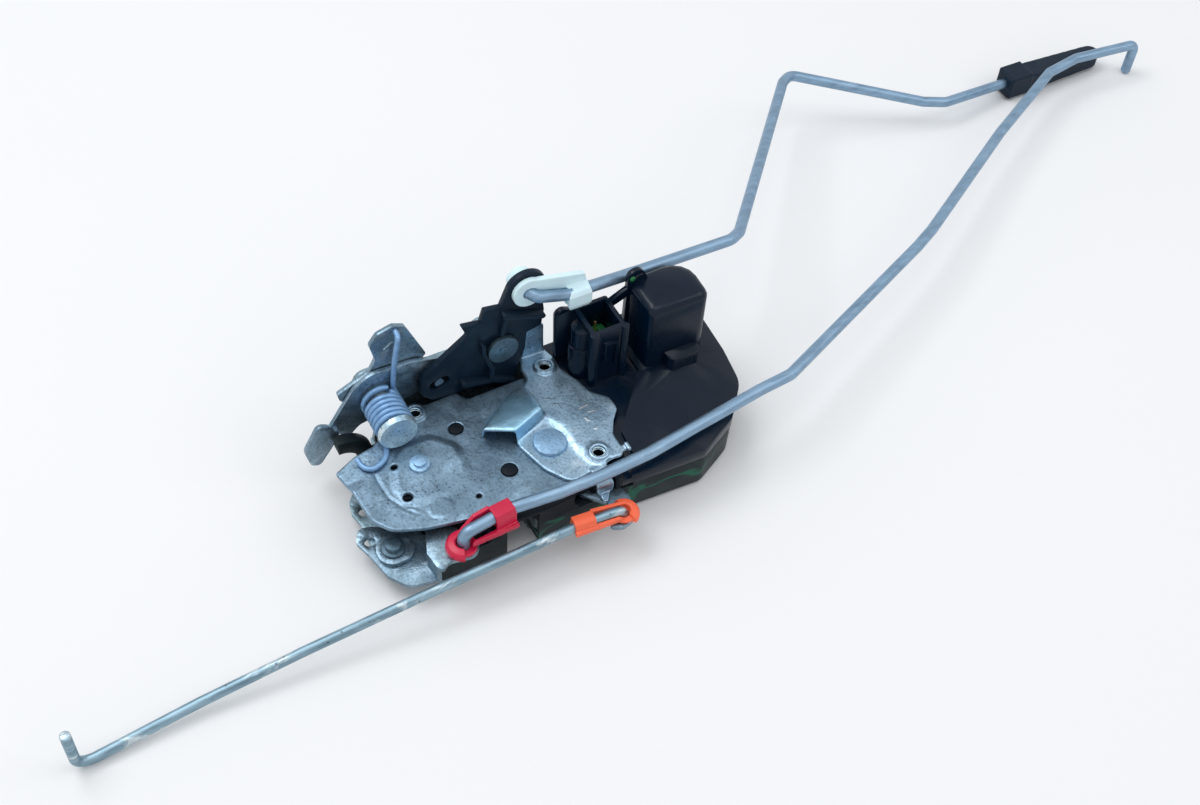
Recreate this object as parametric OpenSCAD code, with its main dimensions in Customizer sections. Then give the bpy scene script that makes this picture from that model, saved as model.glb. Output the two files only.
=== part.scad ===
// Power car door latch lying on its shut face: stamped plates, moulded actuator,
// release and lock levers, and three bent wire rods held by plastic clips.
// The origin is the axis of the latched striker bar on the shut face. +Z leaves the back plate,
// +X runs along the latch towards the actuator, +Y towards the side wall with the levers.

/* [Plates] */
// Height of the back plate's outer face above the shut face
plate_top = 24; // [22:0.5:27]
// Thickness of the back plate
plate_t = 1.8; // [1.4:0.1:2.2]
// Thickness of the shut-face frame plate
frame_t = 2.4; // [2:0.1:3]
// Thickness of the reinforcement bracket
bracket_t = 1.6; // [1.2:0.1:2]
// How far the bracket's raised field stands above its riveted field
bracket_rise = 1; // [0.6:0.1:1.4]
// Height of the pressed dome on the back plate
dome_h = 1; // [0.6:0.1:1.4]
// Height of the threaded collars above their plate
collar_h = 1.2; // [0.8:0.1:2]
// Radius of the threaded collars
collar_r = 4.3; // [3.8:0.1:5]
// Core radius of the M6 fixing threads
thread_r = 2.5; // [2.4:0.05:2.6]
// Radius of the screw passages through the case
screw_passage_r = 3.4; // [3.2:0.1:4]

/* [Striker mouth] */
// Half of the width of the striker mouth
mouth_half_w = 6.5; // [6:0.1:7.2]
// Depth of the mouth beyond the striker axis
mouth_depth = 6.5; // [6:0.1:8]
// Height of the passage for the striker bar
mouth_top = 20; // [18:0.5:21]

/* [Fork bolt and pawl] */
// Thickness of the fork bolt and the pawl
bolt_t = 6; // [5:0.5:6.5]
// Height of the underside of the fork bolt
bolt_z = 6.8; // [6:0.2:7.5]
// Radius of the fork bolt's rim
bolt_rim_r = 35.5; // [35:0.1:35.7]
// Radius of the fork bolt's pivot
fork_pin_r = 5; // [4:0.25:5.5]
// Radius of the pawl's pivot
pawl_pin_r = 3.5; // [3:0.25:4]
// Running clearance of every pivot, on the radius
run_gap = 0.05; // [0.02:0.01:0.09]
// Play between flat moving plates
play = 0.4; // [0.3:0.05:0.5]

/* [Side wall levers] */
// Thickness of the sheet levers
lever_t = 1.8; // [1.4:0.1:2]
// Position of the release stud along the wall
stud_x = -27.8; // [-29:0.1:-27]
// Height of the release stud's axis
stud_z = 32.9; // [32.5:0.1:33.5]
// Radius of the release stud
stud_r = 5; // [4.5:0.1:5.2]
// Radius of the release stud's head
stud_head_r = 7.8; // [7:0.1:8.2]
// Front face of the release stud's head
stud_head_y = 13.2; // [12:0.1:13.3]
// Radius of the release spring's wire
spring_wire_r = 1.05; // [0.9:0.05:1.05]
// Mean radius of the release spring's coil
spring_coil_r = 6.6; // [6.3:0.05:6.7]
// Number of whole turns in the fixed part of the spring
spring_turns = 5; // [4:1:5]
// Position of the lock lever's pivot along the wall
lock_x = 20.9; // [20:0.1:22]
// Height of the lock lever's pivot
lock_z = 41.6; // [41:0.1:43]
// Radius of the lock lever's pivot
lock_pin_r = 3; // [2.5:0.1:3.5]
// Thickness of the lock lever's web
lock_web_t = 2.4; // [2:0.1:2.6]

/* [Rods and clips] */
// Radius of the outside handle rod and the lock rod
rod_r = 2.4; // [2:0.05:2.5]
// Radius of the inside handle rod
thin_rod_r = 1.9; // [1.6:0.05:2]
// Inner radius of the rods' bends, measured to their axis
bend_r = 7; // [5:0.5:9]
// Tight bend where a rod turns into its lever
elbow_r = 4; // [3.5:0.25:4.5]
// Wall thickness of the plastic clips
clip_t = 1.1; // [0.9:0.1:1.4]
// Length of the lock knob
knob_len = 58; // [50:1:64]

/* [Actuator] */
// Wall thickness of the mouldings
wall_t = 1.8; // [1.5:0.1:2.4]
// Height of the seam between the actuator case and its cover
seam_z = 16; // [14:0.5:18]
// Height of the motor tower's top
tower_top = 58; // [56:0.5:61]
// Height of the connector socket's rim
socket_top = 52; // [48:0.5:52.5]
// Height of the connector socket's floor
socket_floor = 35; // [32:0.5:38]
// Radius of the lock motor's can
motor_r = 7.4; // [6.8:0.1:7.5]
// Module of the reduction gears
gear_module = 1; // [0.95:0.01:1.02]
// Number of teeth of the drive gear
gear_teeth = 34; // [32:1:34]
// Number of teeth of the motor pinion
pinion_teeth = 10; // [9:1:11]

/* [Hidden] */
// Facets of true round surfaces and of rounded corners
$fn = 48;
corner_steps = 4;

steel = [0.62, 0.67, 0.71];
rod_steel = [0.45, 0.5, 0.56];
black = [0.09, 0.11, 0.14];
navy = [0.1, 0.13, 0.18];
red = [0.78, 0.12, 0.22];
orange = [0.9, 0.4, 0.2];
white = [0.85, 0.9, 0.93];
green = [0.15, 0.42, 0.25];
brass = [0.72, 0.6, 0.35];

plate_z = plate_top - plate_t;
raised_z = plate_top + bracket_rise;
raised_top = raised_z + bracket_t;
low_top = plate_top + bracket_t;
fork_at = [22.5, -9.5];
pawl_at = [-24.5, 3];
post_at = [-45, -18.5];
inside_pin_at = [28, -24.5];
threads = [[37.3, 23.9], [36.3, -21.9], [-16, 26.3]];
plug_holes = [[-5.3, 13.1, 2.7], [4.2, -12.9, 3]];
// Layers of the side wall, from the wall forwards
side_y = 37;
side_t = 2;
release_y = side_y - play - lever_t;
link_y = release_y - play - lever_t;
lock_y = 28.6;
// Outside lever, link plate and red clip
out_z = 8.2;
out_top = 18;
red_pin = [-23.8, -32.8];
orange_pin = [35.3, -44.4];
in_z = 14.4;
in_top = in_z + lever_t;
eye = [31.2, 67.9];
clip_stub_r = 3.5;
stub_hole_r = clip_stub_r + run_gap;
seat_gap = 0.02;
case_end = 41;
case_back = 31.5;
shelf_z = 14.4;
// Joint between the case's tray and its lid, at the top of the fork bolt's room
case_seam = bolt_z + bolt_t + play;
motor_at = [85, 15.5];
gear_pitch_r = gear_module * gear_teeth / 2;
pinion_pitch_r = gear_module * pinion_teeth / 2;
gear_side = 218;
gear_at = motor_at + (gear_pitch_r + pinion_pitch_r + 0.1) * [cos(gear_side), sin(gear_side)];
gear_z = 8;
gear_t = 5;
gear_post_r = 2.5;
motor_shaft_r = 1.2;

// Route points of the rods, from their lever to their far end
outside_route = [
    [red_pin.x, red_pin.y, 26], [-5, -31, 27.6], [14, -33.8, 29.6], [30, -34, 30],
    [52, -32.5, 30], [105, -24.5, 30], [120, -22.5, 29], [210, 17.5, 24], [222, 23.5, 23.5],
    [291, 64.5, 20], [342, 91.5, 17.5], [361, 95, 17], [396, 92, 16.5]
];
outside_tip_z = 0.4;
lock_route = [
    [eye.x, 24.2, eye.y], [45, 24.8, 62.5], [58, 26, 60.6], [81.5, 32, 52.5],
    [123.7, 32.8, 50.7], [130.6, 37.3, 48], [211, 126.5, 30], [218, 131, 28.5], [278, 104, 12.5], [289, 100.5, 11],
    [330, 104, 6.6], [338, 104, 6.4]
];
inside_route = [
    [orange_pin.x, orange_pin.y, 19.4], [18, -43, 18.6], [-37, -42.6, 14.4], [-90, -42, 8.6],
    [-127, -42.5, 4.6], [-164, -45.3, 2.4], [-170, -45, 2.3]
];
inside_hook_top = [-170, -45, 22];

function unit(v) = v / norm(v);
// Arc that rounds the corner at p between the neighbours a and b, in two or three dimensions
function corner_arc(p, a, b, r, n) =
    let (
        u = unit(a - p), v = unit(b - p), half = acos(u * v) / 2, t = r / tan(half),
        c = p + unit(u + v) * r / sin(half), e1 = unit(p + u * t - c),
        w = p + v * t - c, e2 = unit(w - (w * e1) * e1)
    )
    [for (k = [0:n]) let (g = (180 - 2 * half) * k / n) c + r * (cos(g) * e1 + sin(g) * e2)];
// Closed outline with the third number of each point as its corner radius
function rounded(pts, n = corner_steps) = [
    for (i = [0:len(pts) - 1])
        let (
            m = len(pts), q = pts[i], p = [q.x, q.y],
            a = pts[(i + m - 1) % m], b = pts[(i + 1) % m]
        )
        each (q[2] == 0 ? [p] : corner_arc(p, [a.x, a.y], [b.x, b.y], q[2], n))
];
// Open route with bends; ends holds the radius of the first and the last bend
function bent(pts, r, first_r, last_r, n = 5) = [
    pts[0],
    for (i = [1:len(pts) - 2])
        each corner_arc(
            pts[i], pts[i - 1], pts[i + 1],
            i == 1 ? first_r : i == len(pts) - 2 ? last_r : r, n
        ),
    pts[len(pts) - 1]
];
function across(v) = unit(cross(v, abs(v.z) < 0.9 * norm(v) ? [0, 0, 1] : [0, 1, 0]));
function tangents(pts) = [
    for (i = [0:len(pts) - 1])
        unit(pts[min(i + 1, len(pts) - 1)] - pts[max(i - 1, 0)])
];
function carried(ts, v, i = 0) =
    i >= len(ts) ? [] : let (w = unit(v - (v * ts[i]) * ts[i])) concat([w], carried(ts, w, i + 1));

// Round wire swept along a smooth list of points
module wire(pts, r, sides = 10) {
    ts = tangents(pts);
    us = carried(ts, across(ts[0]));
    rings = [
        for (i = [0:len(pts) - 1]) for (k = [0:sides - 1])
            let (g = 360 * k / sides, w = cross(ts[i], us[i]))
            pts[i] + r * (cos(g) * us[i] + sin(g) * w)
    ];
    last = (len(pts) - 1) * sides;
    polyhedron(rings, concat(
        [[for (k = [0:sides - 1]) k]],
        [for (i = [0:len(pts) - 2]) for (k = [0:sides - 1])
            let (a = i * sides + k, b = i * sides + (k + 1) % sides)
            [a, a + sides, b + sides, b]],
        [[for (k = [sides - 1:-1:0]) last + k]]
    ));
}
// Flat plate between two heights from an outline in plan
module slab(z0, z1) {
    translate([0, 0, z0]) linear_extrude(z1 - z0) children();
}
// Plate between two depths from an outline in the X-Z plane
module upright(y0, y1) {
    translate([0, y1, 0]) rotate([90, 0, 0]) linear_extrude(y1 - y0) children();
}
module pin_y(x, z, r, y0, y1) {
    translate([x, y1, z]) rotate([90, 0, 0]) cylinder(r = r, h = y1 - y0);
}
module pin_z(p, r, z0, z1) {
    translate([p.x, p.y, z0]) cylinder(r = r, h = z1 - z0);
}
module box(a, b) {
    translate(a) cube(b - a);
}
// Straight bar with round ends in two dimensions
module bar(a, b, w) {
    d = unit(b - a);
    s = w / 2 * [-d.y, d.x];
    g0 = atan2(s.y, s.x);
    polygon(concat(
        [for (k = [0:8]) a + w / 2 * [cos(g0 + 22.5 * k), sin(g0 + 22.5 * k)]],
        [for (k = [0:8]) b + w / 2 * [cos(g0 + 180 + 22.5 * k), sin(g0 + 180 + 22.5 * k)]]
    ));
}

// Shut-face plate with the striker mouth, the raised lever shelf and the side wall
module frame_plate() {
    front_y = -30;
    shelf_top = out_z - 0.2;
    shelf_t = 1.8;
    color(steel) difference() {
        union() {
            slab(0, frame_t) polygon(rounded([
                [-34, front_y + 1, 3], [-26, front_y, 2], [39, front_y, 4],
                [40, 34, 0], [40, side_y + side_t, 0], [-30, side_y + side_t, 0], [-34, 16, 3]
            ]));
            box([-34, -22, 0], [-32.2, 14, shelf_top]);
            slab(shelf_top - shelf_t, shelf_top) polygon(rounded([
                [-32.2, -22, 0], [-32.2, 14, 0], [-46, 15.5, 2], [-50.5, 10, 3], [-51.6, 5, 2],
                [-50.4, -1, 3], [-50.8, -9.5, 3], [-50, -17, 4], [-47, -24, 4], [-40, -26, 4]
            ]));
            upright(side_y, side_y + side_t) polygon(rounded([
                [-30, 0, 0], [40, 0, 0], [40, 24, 2], [33, 36, 4], [30, 50, 6], [13, 50, 6],
                [8, 38, 6], [-16, 38, 4], [-20, 43.5, 5], [-34, 43.5, 5], [-36.5, 34, 5],
                [-33, 25.5, 4], [-26, 24, 3], [-27, 12, 3]
            ]));
        }
        slab(-1, frame_t + 1) polygon(concat(
            [[-mouth_half_w - 3, front_y - 1], [-mouth_half_w - 3, front_y],
             [-mouth_half_w, front_y + 6]],
            [for (k = [0:8]) mouth_half_w * [-cos(22.5 * k), sin(22.5 * k)]],
            [[mouth_half_w, front_y + 6], [mouth_half_w + 3, front_y],
             [mouth_half_w + 3, front_y - 1]]
        ));
        for (p = threads) {
            pin_z(p, screw_passage_r, -1, frame_t + 1);
            translate([p.x, p.y, -0.01]) cylinder(r1 = 6, r2 = screw_passage_r, h = 1.6);
        }
        pin_z(fork_at, fork_pin_r + seat_gap, -1, frame_t + 1);
        pin_z(pawl_at, pawl_pin_r + seat_gap, -1, frame_t + 1);
        pin_z(post_at, 2.5 + seat_gap, 0, 9);
        pin_z([-47, 4], 2.3, 0, 9);
        pin_y(stud_x, stud_z, stud_r - 1 + seat_gap, side_y - 1, side_y + side_t + 1);
        pin_y(lock_x, lock_z, lock_pin_r + seat_gap, side_y - 1, side_y + side_t + 1);
    }
}

// Point at a distance outside the fork bolt's rim, at an angle round its pivot
function rim_point(out, angle) = fork_at + (bolt_rim_r + out) * [cos(angle), sin(angle)];

// Plan of the space that the fork bolt and the pawl sweep through
module bolt_room() {
    left = fork_at.x - bolt_rim_r - 1.4;
    difference() {
        bolt_sweep(left);
        translate(threads[2]) square(2 * (screw_passage_r + 0.8), center = true);
    }
}
module bolt_sweep(left) {
    intersection() {
        union() {
            translate(fork_at) circle(r = bolt_rim_r + 0.7);
            bar(pawl_at, rim_point(-2, 127.7), 24);
        }
        polygon([
            [-30.2, -4], [left, -4], [left, -31.6], [16, -31.6], [20, -25], [35.4, -20],
            [35.4, 4], [32, 10], [32, 27], [-30.2, 27]
        ]);
    }
}

// What passes through both halves of the case
module case_ways() {
    slab(frame_t - 1, mouth_top) polygon(concat(
        [for (k = [0:8]) mouth_half_w * [-cos(22.5 * k), sin(22.5 * k)]],
        [[mouth_half_w, -40], [-mouth_half_w, -40]]
    ));
    // Square ways of the fixing screws, open to the nearest side of the case
    r = screw_passage_r;
    for (p = [threads[0], threads[1]])
        box([p.x - r, p.y - r, 0], [case_end + 1, p.y + r, plate_top]);
    box([threads[2].x - r, threads[2].y - r, 0], [threads[2].x + r, case_back + 1, plate_top]);
    pin_z(fork_at, fork_pin_r + seat_gap, 0, plate_top);
    pin_z(pawl_at, pawl_pin_r + seat_gap, 0, plate_top);
    // Round pocket in the front, beside the bracket's foot
    pin_y(25.3, 19.6, 4.7, -34, -29.5);
    pin_z(inside_pin_at, 2.5 + seat_gap, frame_t + 1, plate_top);
}

// Plan of the case under the outside lever's shelf
module case_plan() polygon(rounded([
    [-31.9, -13, 1], [-30.3, -17, 1], [-30.5, -21.5, 1], [-33.7, -29.5, 1],
    [-32.6, -33, 1], [case_end, -33, 0], [case_end, case_back, 0], [-31.9, case_back, 3]
]));

// Part of that plan in front of the shelf, where the tray rises to the shelf's height
module case_step() polygon([[-40, -40], [-14.9, -40], [-14.9, -15], [-24, -11], [-40, -6]]);

// Moulded tray on the frame plate, with the room for the fork bolt and the pawl
module latch_case() {
    color(black) difference() {
        union() {
            slab(frame_t, case_seam) case_plan();
            slab(frame_t, shelf_z) intersection() {
                case_plan();
                case_step();
            }
            // Curved guard behind the left end of the side wall
            translate([-47, 0, 11]) rotate([90, 0, 0]) translate([0, 0, -29])
                rotate_extrude(angle = 95) translate([7.4, 0]) square([6, 4.5]);
            box([-39.6, 24.5, frame_t], [-31, 29, 11.2]);
        }
        slab(bolt_z - play, case_seam + 1) bolt_room();
        pin_z(fork_at, 9.4, bolt_z, case_seam + 1);
        pin_z(pawl_at, 7.4, bolt_z, case_seam + 1);
        case_ways();
    }
}

// Moulded lid between the tray and the back plate, with the rooms of the two springs
module case_lid() {
    color(black) difference() {
        union() {
            slab(case_seam, shelf_z) difference() {
                case_plan();
                case_step();
            }
            slab(shelf_z, plate_z) polygon(rounded([
                [-38, -6, 6], [-24, -10.5, 4], [-15, -14, 3], [-14.6, -33, 2],
                [case_end, -33, 0], [case_end, case_back, 0], [32.4, case_back, 0],
                [31.2, 25, 2], [2.5, 25, 2], [1, case_back, 2], [-21, case_back, 3],
                [-31.5, 22.6, 2], [-37, 16.8, 3], [-46.5, 16, 3], [-46, 4, 6]
            ]));
            for (h = plug_holes) pin_z(h, h[2] - 0.1, plate_z - 1, plate_top + 0.3);
        }
        pin_z(fork_at, 9.4, case_seam - 1, bolt_z + bolt_t + 6);
        pin_z(pawl_at, 7.4, case_seam - 1, bolt_z + bolt_t + 6);
        box([-4.2, 0, case_seam - 1], [4.2, 10.2, mouth_top]);
        case_ways();
        // Slot for the inside handle lever
        slab(in_z - play, in_top + play) polygon([
            [22, -18.4], [34.6, -18.4], [41.6, -29], [41.6, -40], [23.4, -40]
        ]);
        // Recess for the foot of the bracket
        box([28.8, -34, in_top + play], [38, -31, plate_top]);
    }
}

// Stamped back plate with its dome, rivet seats and plugged holes
module back_plate() {
    // Corners that step clear of the two fixing screws under the bracket
    front = threads[1] + (screw_passage_r + 0.1) * [-1, 1];
    rear = threads[0] - (screw_passage_r + 0.1) * [1, 1];
    color(steel) difference() {
        union() {
            slab(plate_z, plate_top) polygon(rounded([
                [-53, 14.5, 1], [-51.4, 6, 4], [-50.6, -4, 6], [-49.8, -12, 6], [-45, -19, 8],
                [-34, -23.2, 14], [-18, -26.4, 20], [8, -28.6, 14], [21, -27.6, 6],
                [front.x, -28, 1.5], [front.x, front.y, 1.5], [40, front.y, 3], [40, rear.y, 3],
                [rear.x, rear.y, 1], [rear.x, 29, 1], [31, 29, 1], [29.4, 24.6, 2],
                [4.5, 24.4, 2], [2, 29.2, 2], [-10, 28.6, 8], [-20.5, 30.1, 2],
                [-36.3, 18.7, 3], [-44, 18, 6]
            ]));
            slab(plate_top - 0.5, plate_top + dome_h) polygon(rounded([
                [-31, 10, 2], [-26, 14.6, 4], [-15.5, 14, 6], [-8, 6, 7], [-8.6, -9, 7],
                [-20, -14.5, 5], [-35, -12.5, 6], [-37.5, -3, 5], [-35, 5, 4]
            ]));
            pin_z(threads[2], collar_r, plate_top - 0.5, plate_top + collar_h);
        }
        pin_z(threads[2], thread_r, plate_z - 1, plate_top + collar_h + 1);
        pin_z(fork_at, fork_pin_r + seat_gap, plate_z - 1, plate_top + 1);
        pin_z(pawl_at, pawl_pin_r + seat_gap, plate_z - 1, plate_top + dome_h + 1);
        for (h = plug_holes) pin_z(h, h[2], plate_z - 1, plate_top + 1);
        pin_z([-33.3, 6.4], 1.3, plate_z - 1, plate_top + dome_h + 1);
        pin_z([-34.2, -8.2], 1.9, plate_z - 1, plate_top + dome_h + 1);
        pin_z([-10.9, -18.6], 1.1, plate_z - 1, plate_top + 1);
        pin_z(inside_pin_at, 2.5 + seat_gap, plate_z - 1, plate_top + 1);
    }
}

// Hull of small cubes at the given points
module skin(points) {
    hull() for (p = points) translate(p - [0.1, 0.1, 0.1]) cube(0.2);
}

// Bracket over the back plate: riveted field, raised field, hood, upright ear and curled foot
module reinforcement_bracket() {
    ear_y = 31.6;
    ear_t = 1.6;
    foot_r = 6.6;
    color(steel) difference() {
        union() {
            slab(plate_top, low_top) polygon(rounded([
                [27.5, 2, 1], [11.6, -4.2, 1], [11.6, -6, 3], [15.3, -19.5, 14], [21.5, -29, 5],
                [35.5, -27, 0], [33.4, -22.4, 4], [31.6, -16.9, 4], [31.4, -8, 3]
            ]));
            slab(raised_z, raised_top) polygon(rounded([
                [26.1, 1.6, 1], [29.6, -5, 4], [30, -16, 5], [32, -23, 4], [34.5, -27.3, 1],
                [43.6, -26.7, 1.5], [45.3, -24.8, 1], [45.6, -16, 3], [49, -10.4, 4],
                [52.9, -6, 3], [52.8, 0, 3], [47.5, 5.4, 4], [46, 12, 5], [42.6, 21, 5],
                [42.8, 27, 2], [41, ear_y + ear_t, 0], [31, ear_y + ear_t, 0], [28.4, 27, 3],
                [28.2, 21.5, 2], [25.9, 19.4, 0]
            ]));
            upright(ear_y, ear_y + ear_t) polygon(rounded([
                [31, raised_z, 0], [41, raised_z, 0], [40.5, 41.6, 1], [37, 44.6, 1],
                [33, 44.4, 1.5], [32.2, 34, 3]
            ]));
            // Foot that curls down in front of the case
            translate([29.8, -27.3, raised_top - foot_r]) rotate([90, 0, 90])
                rotate([0, 0, 90]) rotate_extrude(angle = 90)
                    translate([foot_r - bracket_t, 0]) square([bracket_t, 7]);
            upright(-27.3 - foot_r, -27.3 - foot_r + bracket_t) polygon(rounded([
                [29.8, raised_top - foot_r, 0], [30.8, 17.2, 0.6], [36, 17.2, 1.5],
                [36.8, raised_top - foot_r, 0]
            ]));
            // Tongue at the foot's end
            slab(17.2, 17.2 + bracket_t) polygon(rounded([
                [30.8, -33.4, 0], [30.4, -37.4, 0.6], [32, -38, 0.8], [35.6, -33.4, 0]
            ]));
            pin_z(threads[0], collar_r, raised_z, raised_top + collar_h);
            pin_z(threads[1], collar_r, raised_z, raised_top + collar_h);
            // Hood that stands open towards the rivets
            difference() {
                skin([
                    [1.2, 3.2, 31], [11.3, -2.8, 31.9], [25.5, 2.7, 31.9], [26, 19.2, 26.4],
                    [20.6, 18.8, 26.2], [9.8, 9.6, 29.6], [1.6, 5.4, plate_top + 0.1],
                    [11.6, -4, plate_top + 0.1], [26, 1.6, plate_top + 0.1],
                    [26, 19.2, plate_top + 0.1], [20, 18.8, plate_top + 0.1],
                    [7, 12, plate_top + 0.1]
                ]);
                skin([
                    [-0.2, 1.4, 29.6], [9.4, -3.6, 30.3], [23.8, 3.6, 30.2], [20.8, 15, 26.6],
                    [10.6, 8.6, 28], [0.2, 2.6, plate_top - 1], [9.6, -5, plate_top - 1],
                    [24.2, 3, plate_top - 1], [21, 16, plate_top - 1], [9.5, 11, plate_top - 1]
                ]);
            }
            box([46.6, -26, raised_z], [48.2, -22, raised_top + 0.8]);
            box([44, -25, raised_z], [48.2, -22.5, raised_top]);
        }
        pin_z(threads[0], thread_r, raised_z - 1, raised_top + collar_h + 1);
        pin_z(threads[1], thread_r, raised_z - 1, raised_top + collar_h + 1);
        pin_z(fork_at, fork_pin_r + seat_gap, plate_top - 1, low_top + 1);
    }
}

// Rivet through the fork bolt, with its wide head on the bracket
module fork_pivot() {
    color(steel) union() {
        pin_z(fork_at, fork_pin_r, 0, low_top);
        translate([fork_at.x, fork_at.y, low_top]) cylinder(r1 = 6.6, r2 = 6.1, h = 1.2);
    }
}

module pawl_pivot() {
    color(steel) union() {
        pin_z(pawl_at, pawl_pin_r, 0, plate_top + dome_h);
        translate([pawl_at.x, pawl_at.y, plate_top + dome_h]) cylinder(r1 = 4.1, r2 = 3.8, h = 0.8);
        pin_z(pawl_at, 2.4, plate_top + dome_h, plate_top + dome_h + 2);
    }
}

// Shouldered post that carries the outside lever and its link plate
module lever_post() {
    color(steel) union() {
        pin_z(post_at, 2.5, out_z - 2, out_z);
        pin_z(post_at, 2.9, out_z - 0.2, out_z + 2 * lever_t + 0.2);
        pin_z(post_at, 4.2, out_z + 2 * lever_t + 0.2, out_z + 2 * lever_t + 1);
        pin_z(post_at, 2.9, out_z + 2 * lever_t + 1, out_z + 2 * lever_t + 3.4);
    }
}

module striker_bumper() {
    color(black) difference() {
        box([-4.2, 4, 14], [4.2, 10.2, mouth_top]);
        pin_z([0, 0], 5.6, 13, mouth_top + 1);
    }
}

// Plan of the actuator, shared by its case and its cover
function actuator_outline(inset) = rounded([
    [41 + inset, -33 + inset, 0], [76 - inset * 0.4, -34.6 + inset, 5],
    [92.5 - inset * 0.8, -26 + inset * 0.8, 10], [104.5 - inset, -12 + inset * 0.4, 12],
    [106.2 - inset, 4, 20], [106 - inset, 22, 12], [98 - inset * 0.6, 35.6 - inset, 8],
    [41 + inset, 35.6 - inset, 0]
]);
function tower_outline(inset) = rounded([
    [72 + inset, 6 + inset, 3], [97.8 - inset, 6 + inset, 4], [98.6 - inset, 27.4 - inset, 9],
    [80, 27 - inset, 2], [76, 25 - inset, 1], [72 + inset, 25 - inset, 2]
]);

// Upper moulding of the actuator: sloped deck, motor tower, connector socket and cable ear
module actuator_case() {
    deck = plate_top + 0.8;
    lip_x = 55;
    socket_a = [49.6, 10, 0];
    socket_b = [64, 26.6, 0];
    field = [
        [40, -40], [49.5, -26], [50, -15], [56, -8], [69.4, 7], [70, 40], [40, 40]
    ];
    color(navy) difference() {
        union() {
            difference() {
                slab(seam_z, deck + 1.6) polygon(actuator_outline(0));
                // Field beside the bracket lies lower than the sloped panel
                slab(deck - 0.4, deck + 5) polygon(field);
                intersection() {
                    slab(seam_z, deck + 5) polygon(field);
                    translate([36, -34, 19.4]) rotate([7.7, 0, 0]) translate([0, -8, 0])
                        cube([50, 90, 12]);
                }
                slab(raised_z - 0.1, deck + 5) polygon(rounded([
                    [40, -30, 0], [46.2, -27, 1], [46.4, -16, 3], [49.8, -11, 4], [53.7, -6.4, 3],
                    [53.6, 0.4, 3], [48.4, 6, 4], [46.9, 12, 5], [43.5, 21, 5], [43.6, 34, 0],
                    [40, 34, 0]
                ]));
                // The panel falls away towards the front edge and the chamfered corner
                translate([40, -34, 21]) rotate([7.7, 0, 0]) translate([0, -8, 0])
                    cube([80, 50, 12]);
                translate([92, -26, 21]) rotate([0, 0, 45]) rotate([11.5, 0, 0])
                    translate([-40, -20, 0]) cube([90, 50, 12]);
            }
            // Motor tower with rounded top edges
            slab(deck - 1, tower_top - 3) polygon(tower_outline(0));
            intersection() {
                slab(tower_top - 3.2, tower_top) polygon(tower_outline(0));
                hull() {
                    for (s = [[3.2, 0], [2.2, 0.3], [0.9, 1.2], [0.2, 2.6]])
                        slab(tower_top - s[0], tower_top - s[0] + 0.2)
                            polygon(tower_outline(s[1]));
                }
            }
            // Ledge at the foot of the tower
            slab(deck - 1, plate_top + 8.4) polygon(rounded([
                [79.8, 1, 2.5], [93.6, 1.4, 2.5], [93.6, 8, 0], [79.8, 8, 0]
            ]));
            // Connector socket with its corner rib and latch ramp
            slab(deck - 1, socket_top) polygon(rounded([
                [socket_a.x, socket_a.y, 1], [socket_b.x, socket_a.y, 1],
                [socket_b.x, socket_b.y, 1], [socket_a.x, socket_b.y, 1]
            ]));
            pin_z([socket_a.x + 1, socket_a.y + 0.2], 1.8, deck - 1, socket_top);
            pin_z([socket_b.x - 0.6, socket_a.y], 1.6, deck - 1, socket_top);
            box([54.6, socket_a.y - 1.2, 36], [55.8, socket_a.y + 1, 46]);
            box([55.6, socket_a.y - 1.2, 44.6], [59, socket_a.y + 1, 46]);
            box([59.4, socket_a.y - 1, 33], [60.4, socket_a.y + 1, 45]);
            // Half-round barrel beside the socket
            pin_z([49.8, 18.6], 5, deck - 1, 40);
            pin_z([49.8, 18.6], 4.2, 39, socket_top - 3);
            // Ear with its slot, tied to the socket by a bar
            upright(22.8, 24.8) difference() {
                polygon(rounded([
                    [70.5, deck - 1, 0], [79.4, deck - 1, 0], [79.4, 59, 2.5], [76.5, 64.4, 3],
                    [71, 63.6, 3]
                ]));
                bar([75, 60.6], [77, 60.8], 2);
            }
            // Bar from the ear to the socket
            upright(22.8, 24.8) polygon([[63, 48], [71, 51.5], [71, 55.8], [63, 51.6]]);
            // Lobe behind the socket
            upright(26.4, 28.4) polygon(rounded([
                [43.3, deck - 1, 0], [58, deck - 1, 0], [56, 47.4, 2], [45.5, 52.6, 2.5],
                [42.4, 51.5, 3]
            ]));
        }
        // Socket cavity
        box([socket_a.x + wall_t, socket_a.y + wall_t, socket_floor],
            [socket_b.x - wall_t, socket_b.y - wall_t, socket_top + 1]);
        // Room for the gears under the deck and for the motor in the tower
        slab(seam_z - 1, deck - 3.6) polygon(rounded([
            [58, -26, 3], [78, -28, 3], [98, -12, 8], [102, 20, 8], [96, 31, 5], [58, 31, 3]
        ]));
        slab(deck - 5, tower_top - wall_t - 1) polygon(tower_outline(wall_t));
        for (p = [threads[0], threads[1]]) pin_z(p, screw_passage_r, 0, deck + 4);
        slab(in_z - play, in_top + play) polygon([[30, -20], [44, -20], [47, -40], [30, -40]]);
    }
}

// Lower tray of the actuator
module actuator_cover() {
    color(black) difference() {
        union() {
            slab(0, 1.4) polygon(actuator_outline(1.2));
            slab(1.4, seam_z) polygon(actuator_outline(0.5));
        }
        slab(wall_t + 0.6, seam_z + 1) polygon(rounded([
            [46, -28, 3], [76, -29.5, 3], [97, -14, 8], [101, 18, 8], [95, 31, 5], [46, 31, 3]
        ]));
        for (p = threads) pin_z(p, screw_passage_r, -1, seam_z + 1);
        slab(in_z - play, seam_z + 1) polygon([[30, -20], [44, -20], [47, -40], [30, -40]]);
    }
}

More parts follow.
